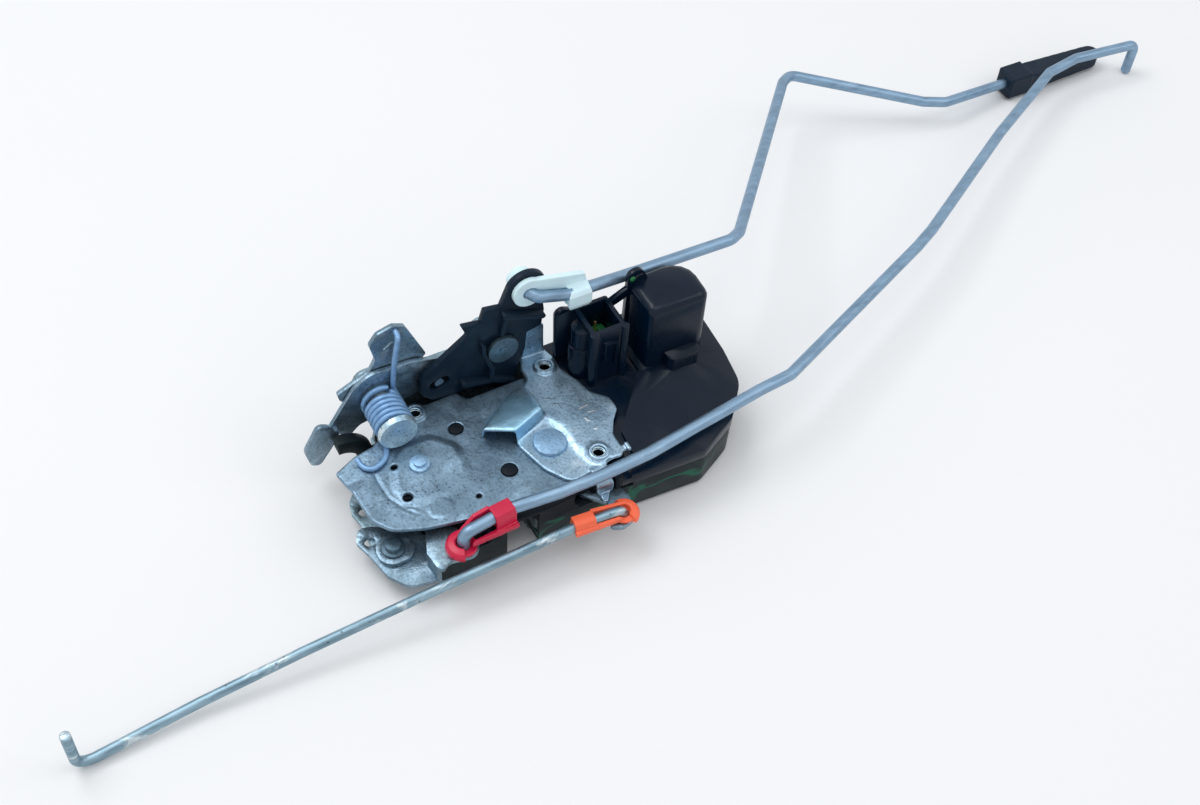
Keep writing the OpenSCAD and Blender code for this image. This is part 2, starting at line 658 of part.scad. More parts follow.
// Green wire seal on the floor of the connector socket
module connector_seal() {
    color(green) difference() {
        slab(socket_floor, socket_floor + 5) polygon(rounded([
            [52, 12.4, 1.5], [61.6, 12.4, 1.5], [61.6, 24.2, 1.5], [52, 24.2, 1.5]
        ]));
        for (y = [15.4, 21.2]) pin_z([56.8, y], 1.9, socket_floor - 1, socket_floor + 6);
    }
}

module connector_terminals() {
    color(brass) for (y = [15.4, 21.2]) {
        pin_z([56.8, y], 0.8, socket_floor, socket_floor + 10);
        translate([56.8, y, socket_floor + 10]) cylinder(r1 = 0.8, r2 = 0.4, h = 0.8);
    }
}

// Headed stud that carries the release lever and its spring
module release_stud() {
    color(steel) union() {
        pin_y(stud_x, stud_z, stud_r - 1, side_y - 0.5, side_y + side_t + 0.8);
        pin_y(stud_x, stud_z, stud_r, stud_head_y + 1, side_y);
        translate([stud_x, stud_head_y + 2.2, stud_z]) rotate([90, 0, 0])
            cylinder(r1 = stud_head_r, r2 = stud_head_r - 0.5, h = 2.2);
    }
}

coil_pitch = 2 * spring_wire_r + 0.12;
arm_hole = [-18.7, 63.2];
arm_y = link_y - spring_wire_r - 0.6;
coil_back_y = arm_y - coil_pitch;
function coil_point(g, y) =
    [stud_x + spring_coil_r * cos(g), y, stud_z + spring_coil_r * sin(g)];

// Fixed turns of the release spring, with the foot that hooks over the plate's edge
module release_spring() {
    steps = spring_turns * 16 + 5;
    turns = [for (k = [0:steps]) coil_point(60 - 22.5 * k, coil_back_y - coil_pitch * k / 16)];
    front_y = turns[steps].y;
    foot_z = plate_top + spring_wire_r + 0.2;
    foot = [
        [-28.4, front_y, foot_z + 1.3], [-31.6, front_y - 0.6, foot_z + 0.1],
        [-32.6, 14.6, foot_z], [-34.4, 11.4, foot_z], [-37.2, 9.2, foot_z], [-40.4, 8.3, foot_z],
        [-42.9, 9.7, foot_z], [-44, 12.4, foot_z], [-44.2, 15, foot_z]
    ];
    color(rod_steel) wire(concat(turns, foot), spring_wire_r, 8);
}

// Last turn of the release spring with the arm that presses on the release lever
module release_spring_arm() {
    turn = [for (k = [0:13]) coil_point(-300 + 24.6 * k, arm_y)];
    color(rod_steel) wire(concat(turn, [
        [-22.2, arm_y, 38.2], [-21.2, arm_y, 50], [-19.4, arm_y, 61.2],
        [-18.9, arm_y + 1, 62.8], [-18.7, arm_y + 2.6, 63.2],
        [arm_hole.x, release_y - 0.4, arm_hole.y],
        [arm_hole.x, release_y + lever_t + 1.2, arm_hole.y]
    ]), spring_wire_r, 8);
}

// Pivot of the lock lever, with a broad flat head
module lock_pivot() {
    color(rod_steel) union() {
        pin_y(lock_x, lock_z, lock_pin_r, lock_y - 1.2, side_y + side_t);
        pin_y(lock_x, lock_z, lock_pin_r + 2, lock_y + lock_web_t + play, side_y);
        pin_y(lock_x, lock_z, 6.2, lock_y - 2.2, lock_y - play);
        pin_y(lock_x, lock_z, 1.6, lock_y - 2.6, lock_y - 2);
    }
}

module inside_lever_pin() {
    color(steel) union() {
        pin_z(inside_pin_at, 2.5, frame_t + 1, plate_top);
    }
}

module lock_motor() {
    color(steel) union() {
        pin_z(motor_at, motor_r, 27, tower_top - wall_t - 1);
        pin_z(motor_at, 3, 24, 27.2);
    }
}

module gear_post() {
    color(black) pin_z(gear_at, gear_post_r, wall_t + 0.6, gear_z + gear_t + 3);
}

// Fork bolt at rest in its open position
module fork_bolt() {
    slot_r = 6.3;
    slot_end = [0, 2 * fork_at.y];
    // The finger ends on the front line or beside its slot, whichever the rim meets first
    finger_front = -25.6;
    finger_side = -slot_r - 2.8;
    inner_x = -slot_r - 0.8;
    inner_y = max(
        -26.2, fork_at.y - sqrt(pow(bolt_rim_r, 2) - pow(inner_x - fork_at.x, 2)) + 0.5
    );
    tip = min(
        180 + asin((fork_at.y - finger_front) / bolt_rim_r),
        360 - acos((finger_side - fork_at.x) / bolt_rim_r)
    );
    color(steel) translate([0, 0, bolt_z]) linear_extrude(bolt_t) difference() {
        polygon(concat(
            [[slot_r + 0.6, -30.6], [slot_r, -29]],
            [for (k = [0:8]) slot_end + slot_r * [cos(22.5 * k), sin(22.5 * k)]],
            [[-slot_r, inner_y + 1], [inner_x, inner_y]],
            // Finger, notch for the pawl and the rim on which the pawl rides
            [for (k = [0:4]) rim_point(0, tip + (187 - tip) * k / 4)],
            [rim_point(-4, 177)],
            [for (k = [0:10]) rim_point(0, 175 - 4.8 * k)],
            [[8, 13], [14, 4.6]],
            [for (k = [0:8]) fork_at + 12 * [cos(105 - 24 * k), sin(105 - 24 * k)]],
            [[14, -24], [12.8, -29.4], [11.4, -30.6]]
        ));
        translate(fork_at) circle(r = fork_pin_r + run_gap);
    }
}

// Torsion springs above the fork bolt and the pawl
module flat_spring(at, r, z, leg_to) {
    turns = [
        for (k = [0:27])
            [at.x + r * cos(30 * k), at.y + r * sin(30 * k), z + 1.55 * k / 12]
    ];
    wire(concat(turns, [[leg_to.x, leg_to.y, z + 3.6]]), 0.7, 6);
}
module fork_spring() {
    color(rod_steel) flat_spring(fork_at, 6.6, bolt_z + bolt_t + 1, fork_at + [-1, 8.2]);
}
module pawl_spring() {
    color(rod_steel) flat_spring(pawl_at, 5, bolt_z + bolt_t + 1, pawl_at + [-1, 6.2]);
}

// Pawl resting just clear of the fork bolt's rim
module pawl() {
    color(steel) translate([0, 0, bolt_z]) linear_extrude(bolt_t) difference() {
        union() {
            translate(pawl_at) circle(r = 5.4);
            polygon(rounded([
                [-24, -2.2, 0], [-20, -0.6, 2], concat(rim_point(5.27, 156.9), 5),
                concat(rim_point(2.4, 143.6), 5), concat(rim_point(0.86, 128.6), 0.5),
                concat(rim_point(4.8, 128.15), 1.5), concat(rim_point(8.37, 141.85), 5),
                [-27, 7.6, 0]
            ]));
        }
        translate(pawl_at) circle(r = pawl_pin_r + run_gap);
    }
}

link_pin = [-4.6, 33.2];
// Steel lever on the stud that the lock lever turns by a pin
module lock_link_lever() {
    tab_y = link_y - 2.4;
    color(steel) difference() {
        union() {
            upright(link_y, link_y + lever_t) polygon(rounded([
                [-48, 24, 1], [-36.8, 42, 10], [-30, 46.4, 8], [-14, 45.6, 12], [-1.4, 42.2, 5],
                [1, 34, 5], [-3, 28.6, 4], [-12, 27.8, 10], [-19, 26.4, 6], [-28, 22.6, 6],
                [-36, 21, 4], [-40.6, 16.4, 1]
            ]));
            // Tab that is set forward at the lower left end
            box([-48, tab_y, 21.4], [-45, link_y + lever_t, 25.4]);
            upright(tab_y, tab_y + lever_t) polygon(rounded([
                [-52.6, 31, 2], [-48.8, 29, 1], [-45.2, 23.4, 1], [-45.6, 20.6, 1.5],
                [-53.4, 9, 2], [-57, 10.4, 3], [-59, 19, 6]
            ]));
            pin_y(-17.9, 43.1, 2.4, link_y - 0.25, link_y + 0.2);
            pin_y(link_pin.x, link_pin.y, 1.8, lock_y + 0.4, link_y + 0.2);
        }
        pin_y(stud_x, stud_z, stud_r + run_gap, tab_y - 1, link_y + lever_t + 1);
    }
}

// Steel lever behind it, with the broad tab that the spring pulls on
module release_lever() {
    color(steel) difference() {
        upright(release_y, release_y + lever_t) polygon(rounded([
            [-42.4, 39.2, 0.8], [-29.6, 45.4, 3], [-26.9, 50.8, 3], [-28.8, 59.2, 3],
            [-25.6, 63.8, 3], [-19.3, 65.6, 2], [-14.6, 63.4, 2], [-7, 45.2, 1.2],
            [-9.6, 42.4, 1.2], [-19, 37.6, 3], [-20, 26.8, 6], [-30, 24, 5], [-36, 28, 4],
            [-42, 36, 0.8]
        ]));
        upright(release_y - 1, release_y + lever_t + 1) bar([-23, 55], [-20.4, 57], 1.6);
        pin_y(arm_hole.x, arm_hole.y, spring_wire_r + 0.3, release_y - 1, 40);
        pin_y(stud_x, stud_z, stud_r + run_gap, release_y - 1, release_y + lever_t + 1);
    }
}

// Moulded bell crank that locks the latch
module lock_lever() {
    rib_y = lock_y - 3;
    color(black) difference() {
        union() {
            upright(lock_y, lock_y + lock_web_t) union() {
                polygon(rounded([
                    [24, 72, 0], [22.5, 68, 4], [20.6, 62.8, 0], [14.1, 64, 0.6],
                    [12.5, 58, 0], [4.8, 59.4, 0.5], [7.2, 53.4, 0.5], [-3, 45.6, 6],
                    [-11.6, 39.4, 5], [-12.4, 30, 5], [-7.6, 25, 3], [4.7, 24, 4],
                    [13.5, 22.6, 0], [19, 18.6, 1], [27.2, 18.4, 1.5], [27.6, 26, 2],
                    [31, 36, 4], [31.6, 44.6, 0], [37.6, 46, 1], [38.6, 54, 0], [37, 66, 0]
                ]));
                translate(eye) circle(r = 8.2);
            }
            // Shelf under the eye
            upright(rib_y, lock_y + 1) bar([21.4, 60.2], [36.8, 53.8], 2.2);
            // Rib from the shelf to the hub and the curved spring bar beside it
            upright(rib_y + 0.6, lock_y + 1) bar([22, 58.6], [20.4, 51], 1.8);
            upright(rib_y, lock_y + 1) bar([12.4, 48], [12.6, 43.6], 1.6);
            upright(rib_y, lock_y + 1) bar([12.6, 43.6], [16, 34], 1.6);
            upright(rib_y, lock_y + 1) bar([16, 34], [15.6, 27.6], 1.8);
            // Shelf along the lower edge
            upright(rib_y, lock_y + 1) bar([4.4, 30.2], [17, 27.2], 2.2);
            upright(rib_y, lock_y + 1) bar([17, 27.2], [25.6, 21.4], 2.2);
        }
        pin_y(lock_x, lock_z, lock_pin_r + run_gap, lock_y - 1, lock_y + lock_web_t + 1);
        pin_y(eye.x, eye.y, stub_hole_r, lock_y - 1, lock_y + lock_web_t + 1);
        upright(lock_y - 1, lock_y + lock_web_t + 1)
            bar(link_pin - [1.6, 0.4], link_pin + [1.6, 0.6], 5.2);
    }
}

// Clip of the lock rod: washer and stub in the lever's eye, arm and saddle on the rod
module white_clip() {
    front_y = 21.7;
    web_y = lock_y - 2.4;
    a = lock_route[1];
    b = lock_route[2];
    color(white) difference() {
        union() {
            pin_y(eye.x, eye.y, 6.4, web_y, lock_y - 0.15);
            pin_y(eye.x, eye.y, clip_stub_r, web_y, lock_y + lock_web_t + 1);
            pin_y(eye.x, eye.y, clip_stub_r + 1.3, lock_y + lock_web_t + 0.15, 36.4);
            upright(web_y, lock_y - 0.15) polygon(rounded([
                [33, 74, 1.5], [54.4, 68.4, 1.5], [55.2, 56.4, 1.5], [46.4, 55.8, 1],
                [45, 64, 2], [35, 66.5, 2]
            ]));
            hull() {
                box([46.6, front_y + 1, 55.2], [54.6, lock_y - 1, 64]);
                box([45.6, front_y, 57.4], [55.2, lock_y - 1, 62.4]);
                box([46.2, web_y, 64], [55, lock_y - 0.4, 65.2]);
            }
        }
        wire(bent([
            [eye.x, 40, eye.y], lock_route[0], a, b, lock_route[3]
        ], bend_r, elbow_r, bend_r), rod_r + 0.04, 16);
        pin_y(eye.x, eye.y, rod_r + 0.04, 25, 40);
        // Open underside of the saddle
        box([44, front_y + 2, 54], [60, lock_y - 2.6, 60.2]);
    }
}

// Lock rod from the lever's eye to the knob
lock_path = bent(concat([[eye.x, 30.5, eye.y]], lock_route), bend_r, elbow_r, 20);
module lock_rod() {
    color(rod_steel) union() {
        wire(lock_path, rod_r - 0.03, 12);
        pin_y(eye.x, eye.y, rod_r, 29.4, 36);
    }
}

// Tapered pull knob with a square sleeve on the end of the lock rod
module lock_knob() {
    at = lock_route[len(lock_route) - 1];
    tip_z = 7;
    color(black) translate([at.x - 10, at.y, at.z]) difference() {
        union() {
            hull() {
                translate([0, -5.6, -5.6]) cube([12, 11.2, 11.2]);
                translate([-1, -4.6, -5]) cube([13, 9.2, 10]);
            }
            hull() {
                translate([11, -5.2, -5.4]) cube([1, 10.4, 9.8]);
                translate([knob_len - 5, 0.5, -5.2]) cylinder(r = 4.4, h = tip_z, $fn = 32);
            }
        }
        translate([10 - at.x, -at.y, -at.z]) wire(concat(
            [for (i = [8:-1:1]) lock_path[len(lock_path) - i]], [at + [0.4, 0, 0]]
        ), rod_r + 0.04, 16);
    }
}

// Outside release lever: low plate on the post, joggled up to the platform of the red clip
module outside_lever() {
    t = lever_t;
    color(steel) difference() {
        union() {
            slab(out_z, out_z + t) polygon(rounded([
                [-55.6, -9, 3], [-53, -3.6, 3], [-48, -4.6, 4], [-34, -14, 3], [-31, -18, 1],
                [-36.4, -29.5, 2], [-34.6, -36.4, 1.5], [-45.6, -34.8, 5], [-51, -27.4, 8],
                [-53.4, -16, 10]
            ]));
            slab(out_z, out_top) polygon([
                [-32.6, -19], [-31, -19], [-34.8, -29.4], [-34, -36.2], [-35.8, -36.2],
                [-36.6, -29.6]
            ]);
            slab(out_top - t, out_top) polygon(rounded([
                [-36.4, -29.6, 0], [-32.6, -19, 0], [-24, -21.6, 3], [-17.4, -33.5, 4],
                [-21, -38, 4], [-31, -36.2, 3], [-34.2, -38.6, 1], [-35.8, -36.2, 0]
            ]));
        }
        pin_z(post_at, 2.9 + run_gap, 0, 20);
        pin_z(red_pin, stub_hole_r, 0, 20);
        pin_z([-51, -10.6], 2.1, 0, 20);
    }
}

// Curved plate over the lever on the same post
module outside_link_plate() {
    color(steel) difference() {
        slab(out_z + lever_t, out_z + 2 * lever_t) polygon(rounded([
            [-51.6, -20, 5.5], [-48.6, -25, 5], [-40.4, -24.6, 4], [-36.8, -19.8, 2],
            [-38, -15.4, 2], [-43, -11.8, 5], [-50.2, -12.6, 5.5]
        ]));
        pin_z(post_at, 2.9 + run_gap, 0, 20);
    }
}

// Clip of a handle rod, laid along +X: stub and collar at the pin, wall behind the rod,
// saddle over it and lip in front
module rod_clip(seat, under, ring_r, wire_r, wire_z, back_z, lip) {
    out_y = wire_r + clip_t;
    difference() {
        union() {
            translate([0, 0, seat]) cylinder(r = ring_r - 1.6, h = 1.2);
            translate([0, 0, seat]) rotate(78) rotate_extrude(angle = 168)
                polygon([
                    [wire_r + 0.4, 0], [ring_r, 0], [ring_r, 1.4], [ring_r - 0.9, 3],
                    [wire_r + 1, 3.6], [wire_r + 0.4, 3.2]
                ]);
            translate([0, 0, under]) cylinder(r = clip_stub_r, h = seat - under + 1);
            translate([0, 0, under - 1]) cylinder(r1 = 2.9, r2 = clip_stub_r + 0.5, h = 1);
            // Wall behind the rod
            upright(wire_r + 0.2, wire_r + 0.2 + 1.5) polygon([
                [-1.6, seat], [-1.6, seat + 3.4], [6, wire_z + wire_r - 0.4],
                [12.4, wire_z + wire_r + 0.4], [12.4, back_z], [8.6, back_z], [7.4, seat]
            ]);
            // Saddle
            hull() {
                translate([12, 0, wire_z]) rotate([0, 90, 0])
                    cylinder(r = out_y, h = 8.2, $fn = 32);
                box([12, -out_y, back_z + 0.6], [20.2, out_y, wire_z]);
                box([12, -wire_r, wire_z], [20.2, out_y - 0.4, wire_z + out_y - 0.3]);
            }
            // Lip
            slab(lip[0], lip[1]) polygon([
                [3, -wire_r - 0.1], [1.6, -wire_r - 1.3], [20.4, -wire_r - lip[2]],
                [20.4, -wire_r - 0.1]
            ]);
            box([12, -out_y, lip[1] - 0.8], [20.2, -wire_r - 0.1, back_z + 1.6]);
        }
        children();
    }
}

module red_clip() {
    turn = atan2(outside_route[1].y - red_pin.y, outside_route[1].x - red_pin.x);
    color(red) difference() {
        translate([red_pin.x, red_pin.y, 0]) rotate([0, 0, turn])
            rod_clip(out_top + 0.15, out_top - lever_t - 0.4, 6.6, rod_r, 26.9,
                plate_top + 0.3, [21, 23.3, 2.6])
                box([11, -rod_r, plate_top], [30, rod_r, 27]);
        wire(outside_clip_path, rod_r + 0.04, 16);
        pin_z(red_pin, rod_r + 0.04, 10, 21.6);
    }
}

// Outside handle rod in two lengths that meet over the bracket
outside_split = [22, -33.9, 29.8];
outside_clip_path = bent([
    [red_pin.x, red_pin.y, 14], outside_route[0], outside_route[1], outside_route[2]
], bend_r, elbow_r, bend_r);
module outside_rod_inner() {
    color(rod_steel) union() {
        wire(bent([
            [red_pin.x, red_pin.y, 19], outside_route[0], outside_route[1], outside_route[2],
            outside_split
        ], bend_r, elbow_r, bend_r), rod_r - 0.03, 12);
        pin_z(red_pin, rod_r, 15, 20.5);
    }
}
module outside_rod() {
    n = len(outside_route);
    last = outside_route[n - 1];
    tip = [last.x, last.y, outside_tip_z];
    ahead = unit(outside_route[3] - outside_split);
    color(rod_steel) union() {
        wire(bent(concat(
            [outside_split + seat_gap * ahead], [for (i = [3:n - 1]) outside_route[i]],
            [tip + [0, 0, 9]]
        ), bend_r, bend_r, elbow_r), rod_r - 0.03, 12);
        pin_z(tip, rod_r, outside_tip_z, outside_tip_z + 10);
    }
}

// Flat lever that the inside handle rod pulls, leaving the case through its slot
module inside_lever() {
    color(steel) difference() {
        slab(in_z, in_top) polygon(rounded([
            [24, -25, 3.5], [27, -19.6, 3.5], [32.2, -22, 2.5], [40.4, -33.3, 1.5],
            [41.3, -38, 3], [39.9, -44.8, 3], [36.6, -48.3, 2.5], [32.6, -49.3, 2],
            [28.4, -47.6, 1.5], [32.6, -37.2, 2], [25.2, -29.4, 3]
        ]));
        pin_z(inside_pin_at, 2.5 + run_gap, 0, 30);
        pin_z(orange_pin, stub_hole_r, 0, 30);
    }
}

module orange_clip() {
    turn = atan2(inside_route[1].y - orange_pin.y, inside_route[1].x - orange_pin.x);
    color(orange) difference() {
        translate([orange_pin.x, orange_pin.y, 0]) rotate([0, 0, turn]) mirror([0, 1, 0])
            rod_clip(in_top + 0.15, in_top - lever_t - 0.4, 5.9, thin_rod_r, 19,
                in_top + 0.5, [17, 19.2, 2])
                box([9.6, -thin_rod_r, in_top], [30, thin_rod_r, 19]);
        wire(bent([
            [orange_pin.x, orange_pin.y, 10], inside_route[0], inside_route[1],
            inside_route[2]
        ], bend_r, 3, bend_r), thin_rod_r + 0.04, 16);
        pin_z(orange_pin, thin_rod_r + 0.04, 8, 19);
    }
}

module inside_rod() {
    n = len(inside_route);
    top = inside_hook_top;
    color(rod_steel) union() {
        wire(bent(concat(
            [[orange_pin.x, orange_pin.y, 15.5]], inside_route, [top]
        ), bend_r, 3, elbow_r), thin_rod_r - 0.02, 12);
        pin_z(orange_pin, thin_rod_r, 12, 16.4);
        pin_z(top, thin_rod_r, 12, top.z + 0.4);
    }
}

// Outline of one side of an involute tooth, up to the tip radius
function tooth_side(base_r, tip_r, offset, sign) = [
    for (k = [0:3])
        let (
            t = sqrt(pow(tip_r / base_r, 2) - 1) * k / 3,
            g = offset + sign * (t * 180 / PI - atan(t)),
            r = base_r * sqrt(1 + t * t)
        )
        r * [cos(g), sin(g)]
];
module gear_profile(teeth, backlash) {
    pitch_r = gear_module * teeth / 2;
    base_r = pitch_r * cos(20);
    tip_r = pitch_r + 0.85 * gear_module;
    root_r = min(base_r - 0.2, pitch_r - 1.15 * gear_module);
    half = 90 / teeth + tan(20) * 180 / PI - 20 - backlash / pitch_r * 90 / PI;
    polygon([
        for (i = [0:teeth - 1])
            let (
                g = 360 * i / teeth,
                lo = tooth_side(base_r, tip_r, g - half, 1),
                hi = tooth_side(base_r, tip_r, g + half, -1)
            )
            each concat(
                [root_r * [cos(g - half), sin(g - half)]], lo,
                [for (k = [3:-1:0]) hi[k]], [root_r * [cos(g + half), sin(g + half)]]
            )
    ]);
}

module drive_gear() {
    color(white) translate([gear_at.x, gear_at.y, 0]) difference() {
        union() {
            translate([0, 0, gear_z]) linear_extrude(gear_t) rotate(gear_side + 180)
                gear_profile(gear_teeth, 0.2);
            translate([0, 0, gear_z - 1.6]) cylinder(r = 4.5, h = gear_t + 3.2);
            translate([8, 0, gear_z + gear_t - 0.5]) cylinder(r = 2, h = 3);
        }
        translate([0, 0, gear_z - 3]) cylinder(r = gear_post_r + run_gap, h = gear_t + 6);
    }
}

module motor_pinion() {
    color(brass) translate([motor_at.x, motor_at.y, 0]) union() {
        translate([0, 0, gear_z - 0.5]) linear_extrude(gear_t + 1)
            rotate(gear_side + 180 / pinion_teeth) gear_profile(pinion_teeth, 0.2);
        translate([0, 0, gear_z]) cylinder(r = motor_shaft_r, h = 23.6 - gear_z);
    }
}

frame_plate();
latch_case();
case_lid();
back_plate();
reinforcement_bracket();
fork_pivot();
pawl_pivot();
lever_post();
striker_bumper();
actuator_case();
actuator_cover();
connector_seal();
connector_terminals();
release_stud();
release_spring();
lock_pivot();
inside_lever_pin();
lock_motor();
gear_post();
fork_bolt();
fork_spring();
pawl();
pawl_spring();
lock_link_lever();
release_lever();
release_spring_arm();
lock_lever();
white_clip();
lock_rod();
lock_knob();
outside_lever();
outside_link_plate();
red_clip();
outside_rod_inner();
outside_rod();
inside_lever();
orange_clip();
inside_rod();
drive_gear();
motor_pinion();
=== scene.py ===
import math
import bpy
import bmesh
import numpy as np
from mathutils import Matrix, Vector


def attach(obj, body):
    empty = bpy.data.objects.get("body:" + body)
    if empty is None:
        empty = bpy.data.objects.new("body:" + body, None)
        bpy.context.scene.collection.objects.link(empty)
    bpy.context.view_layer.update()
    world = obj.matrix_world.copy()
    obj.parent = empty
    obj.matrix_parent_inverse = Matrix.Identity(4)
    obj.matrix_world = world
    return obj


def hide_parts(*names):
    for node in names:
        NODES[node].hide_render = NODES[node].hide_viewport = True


# Dresses the CAD model of a car door latch: finishes, soft sheet forms, wires, floor and lamps
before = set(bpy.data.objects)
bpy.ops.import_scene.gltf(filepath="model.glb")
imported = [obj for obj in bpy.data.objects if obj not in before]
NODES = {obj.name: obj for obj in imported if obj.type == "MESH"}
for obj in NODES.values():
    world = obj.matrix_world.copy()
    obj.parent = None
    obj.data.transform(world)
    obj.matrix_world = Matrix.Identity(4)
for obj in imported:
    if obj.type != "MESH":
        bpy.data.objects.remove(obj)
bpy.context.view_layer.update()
MM = 0.001

# ---------------------------------------------------------------- camera
# The eye's place, and the camera's right, down and forward directions in the part's frame
EYE = Vector((-156.546, -329.102, 492.808)) * MM
RIGHT = Vector((0.879342, -0.473235, 0.052974))
DOWN = Vector((-0.335596, -0.694793, -0.636112))
FORWARD = Vector((0.337837, 0.541582, -0.769776))
LENS_MM = 48.0
SENSOR_MM = 36.0

cam_data = bpy.data.cameras.new("photo_camera")
cam_data.lens = LENS_MM
cam_data.sensor_width = SENSOR_MM
cam_data.clip_start = 0.01
cam_data.clip_end = 50.0
cam = bpy.data.objects.new("photo_camera", cam_data)
bpy.context.scene.collection.objects.link(cam)
turn = Matrix((RIGHT, -DOWN, -FORWARD)).transposed()
cam.matrix_world = Matrix.Translation(EYE) @ turn.to_4x4()
bpy.context.scene.camera = cam


# ---------------------------------------------------------------- materials
# Numbers of the colour sockets of Blender's Mix node
MIX_A, MIX_B, MIX_RESULT = 6, 7, 2
STROKE_BLUR = 0.15


class Nodes:
    """Small helper that builds a material's node tree."""

    def __init__(self, name):
        self.mat = bpy.data.materials.new(name)
        self.mat.use_nodes = True
        self.tree = self.mat.node_tree
        self.shader = self.tree.nodes["Principled BSDF"]
        self.place = self.add("ShaderNodeTexCoord").outputs["Object"]

    def add(self, kind, **props):
        n = self.tree.nodes.new(kind)
        for k, v in props.items():
            setattr(n, k, v)
        return n

    def link(self, a, b):
        self.tree.links.new(a, b)

    def set(self, **values):
        for k, v in values.items():
            self.shader.inputs[k.replace("_", " ")].default_value = v

    def scaled(self, stretch):
        """Object coordinates scaled by stretch along X, Y and Z."""
        m = self.add("ShaderNodeMapping")
        m.inputs["Scale"].default_value = stretch
        self.link(self.place, m.inputs["Vector"])
        return m.outputs["Vector"]

    def noise(self, scale, detail=3.0, rough=0.55, stretch=(1, 1, 1), warp=0.0):
        n = self.add("ShaderNodeTexNoise")
        n.inputs["Scale"].default_value = scale
        n.inputs["Detail"].default_value = detail
        n.inputs["Roughness"].default_value = rough
        n.inputs["Distortion"].default_value = warp
        self.link(self.scaled(stretch), n.inputs["Vector"])
        return n.outputs["Fac"]

    def cells(self, scale, stretch=(1, 1, 1)):
        n = self.add("ShaderNodeTexVoronoi")
        n.inputs["Scale"].default_value = scale
        self.link(self.scaled(stretch), n.inputs["Vector"])
        return n.outputs["Distance"]

    def fit(self, value, a, b, lo=0.0, hi=1.0):
        """value mapped from a..b to lo..hi, clamped."""
        n = self.add("ShaderNodeMapRange")
        for k, v in (("From Min", a), ("From Max", b), ("To Min", lo), ("To Max", hi)):
            n.inputs[k].default_value = v
        self.link(value, n.inputs["Value"])
        return n.outputs["Result"]

    def math(self, op, a, b):
        n = self.add("ShaderNodeMath", operation=op)
        for i, v in enumerate((a, b)):
            if isinstance(v, (int, float)):
                n.inputs[i].default_value = v
            else:
                self.link(v, n.inputs[i])
        return n.outputs["Value"]

    def mix(self, fac, a, b):
        """Colour a turned into colour b; each is a tuple or a node's output."""
        n = self.add("ShaderNodeMix", data_type="RGBA")
        self.link(fac, n.inputs["Factor"])
        for i, v in ((MIX_A, a), (MIX_B, b)):
            if isinstance(v, tuple):
                n.inputs[i].default_value = (*v, 1.0)
            else:
                self.link(v, n.inputs[i])
        return n.outputs[MIX_RESULT]

    def bump(self, height, distance, strength=1.0, below=None):
        n = self.add("ShaderNodeBump")
        n.inputs["Strength"].default_value = strength
        n.inputs["Distance"].default_value = distance
        self.link(height, n.inputs["Height"])
        if below is not None:
            self.link(below, n.inputs["Normal"])
        return n.outputs["Normal"]

    def stroke(self, a, b, width, blur=STROKE_BLUR):
        """Mask of a short line from a to b in plan, in millimetres."""
        a, b = Vector((*a, 0)) * MM, Vector((*b, 0)) * MM
        along = (b - a).normalized()
        across = Vector((-along.y, along.x, 0))
        off = self.add("ShaderNodeVectorMath", operation="SUBTRACT")
        self.link(self.place, off.inputs[0])
        off.inputs[1].default_value = (a + b) / 2
        sides = ((along, (b - a).length / 2, 2 * blur * MM), (across, width * MM / 2, blur * MM))
        masks = []
        for axis, reach, soft in sides:
            dot = self.add("ShaderNodeVectorMath", operation="DOT_PRODUCT")
            self.link(off.outputs["Vector"], dot.inputs[0])
            dot.inputs[1].default_value = axis
            far = self.math("ABSOLUTE", dot.outputs["Value"], 0.0)
            masks.append(self.fit(far, reach, reach + soft, 1.0, 0.0))
        return self.math("MULTIPLY", *masks)

    def finish(self, color, rough, normal):
        self.link(color, self.shader.inputs["Base Color"])
        self.link(rough, self.shader.inputs["Roughness"])
        self.link(normal, self.shader.inputs["Normal"])
        return self.mat


PIT_COLOR = (0.035, 0.04, 0.045)
STAIN_COLOR = (0.075, 0.095, 0.1)
NICK_COLOR = (0.05, 0.06, 0.07)
REFLECTION_BLUR, REFLECTION_STRENGTH = 2.5, 0.7
STROKE_STRENGTH = 0.85


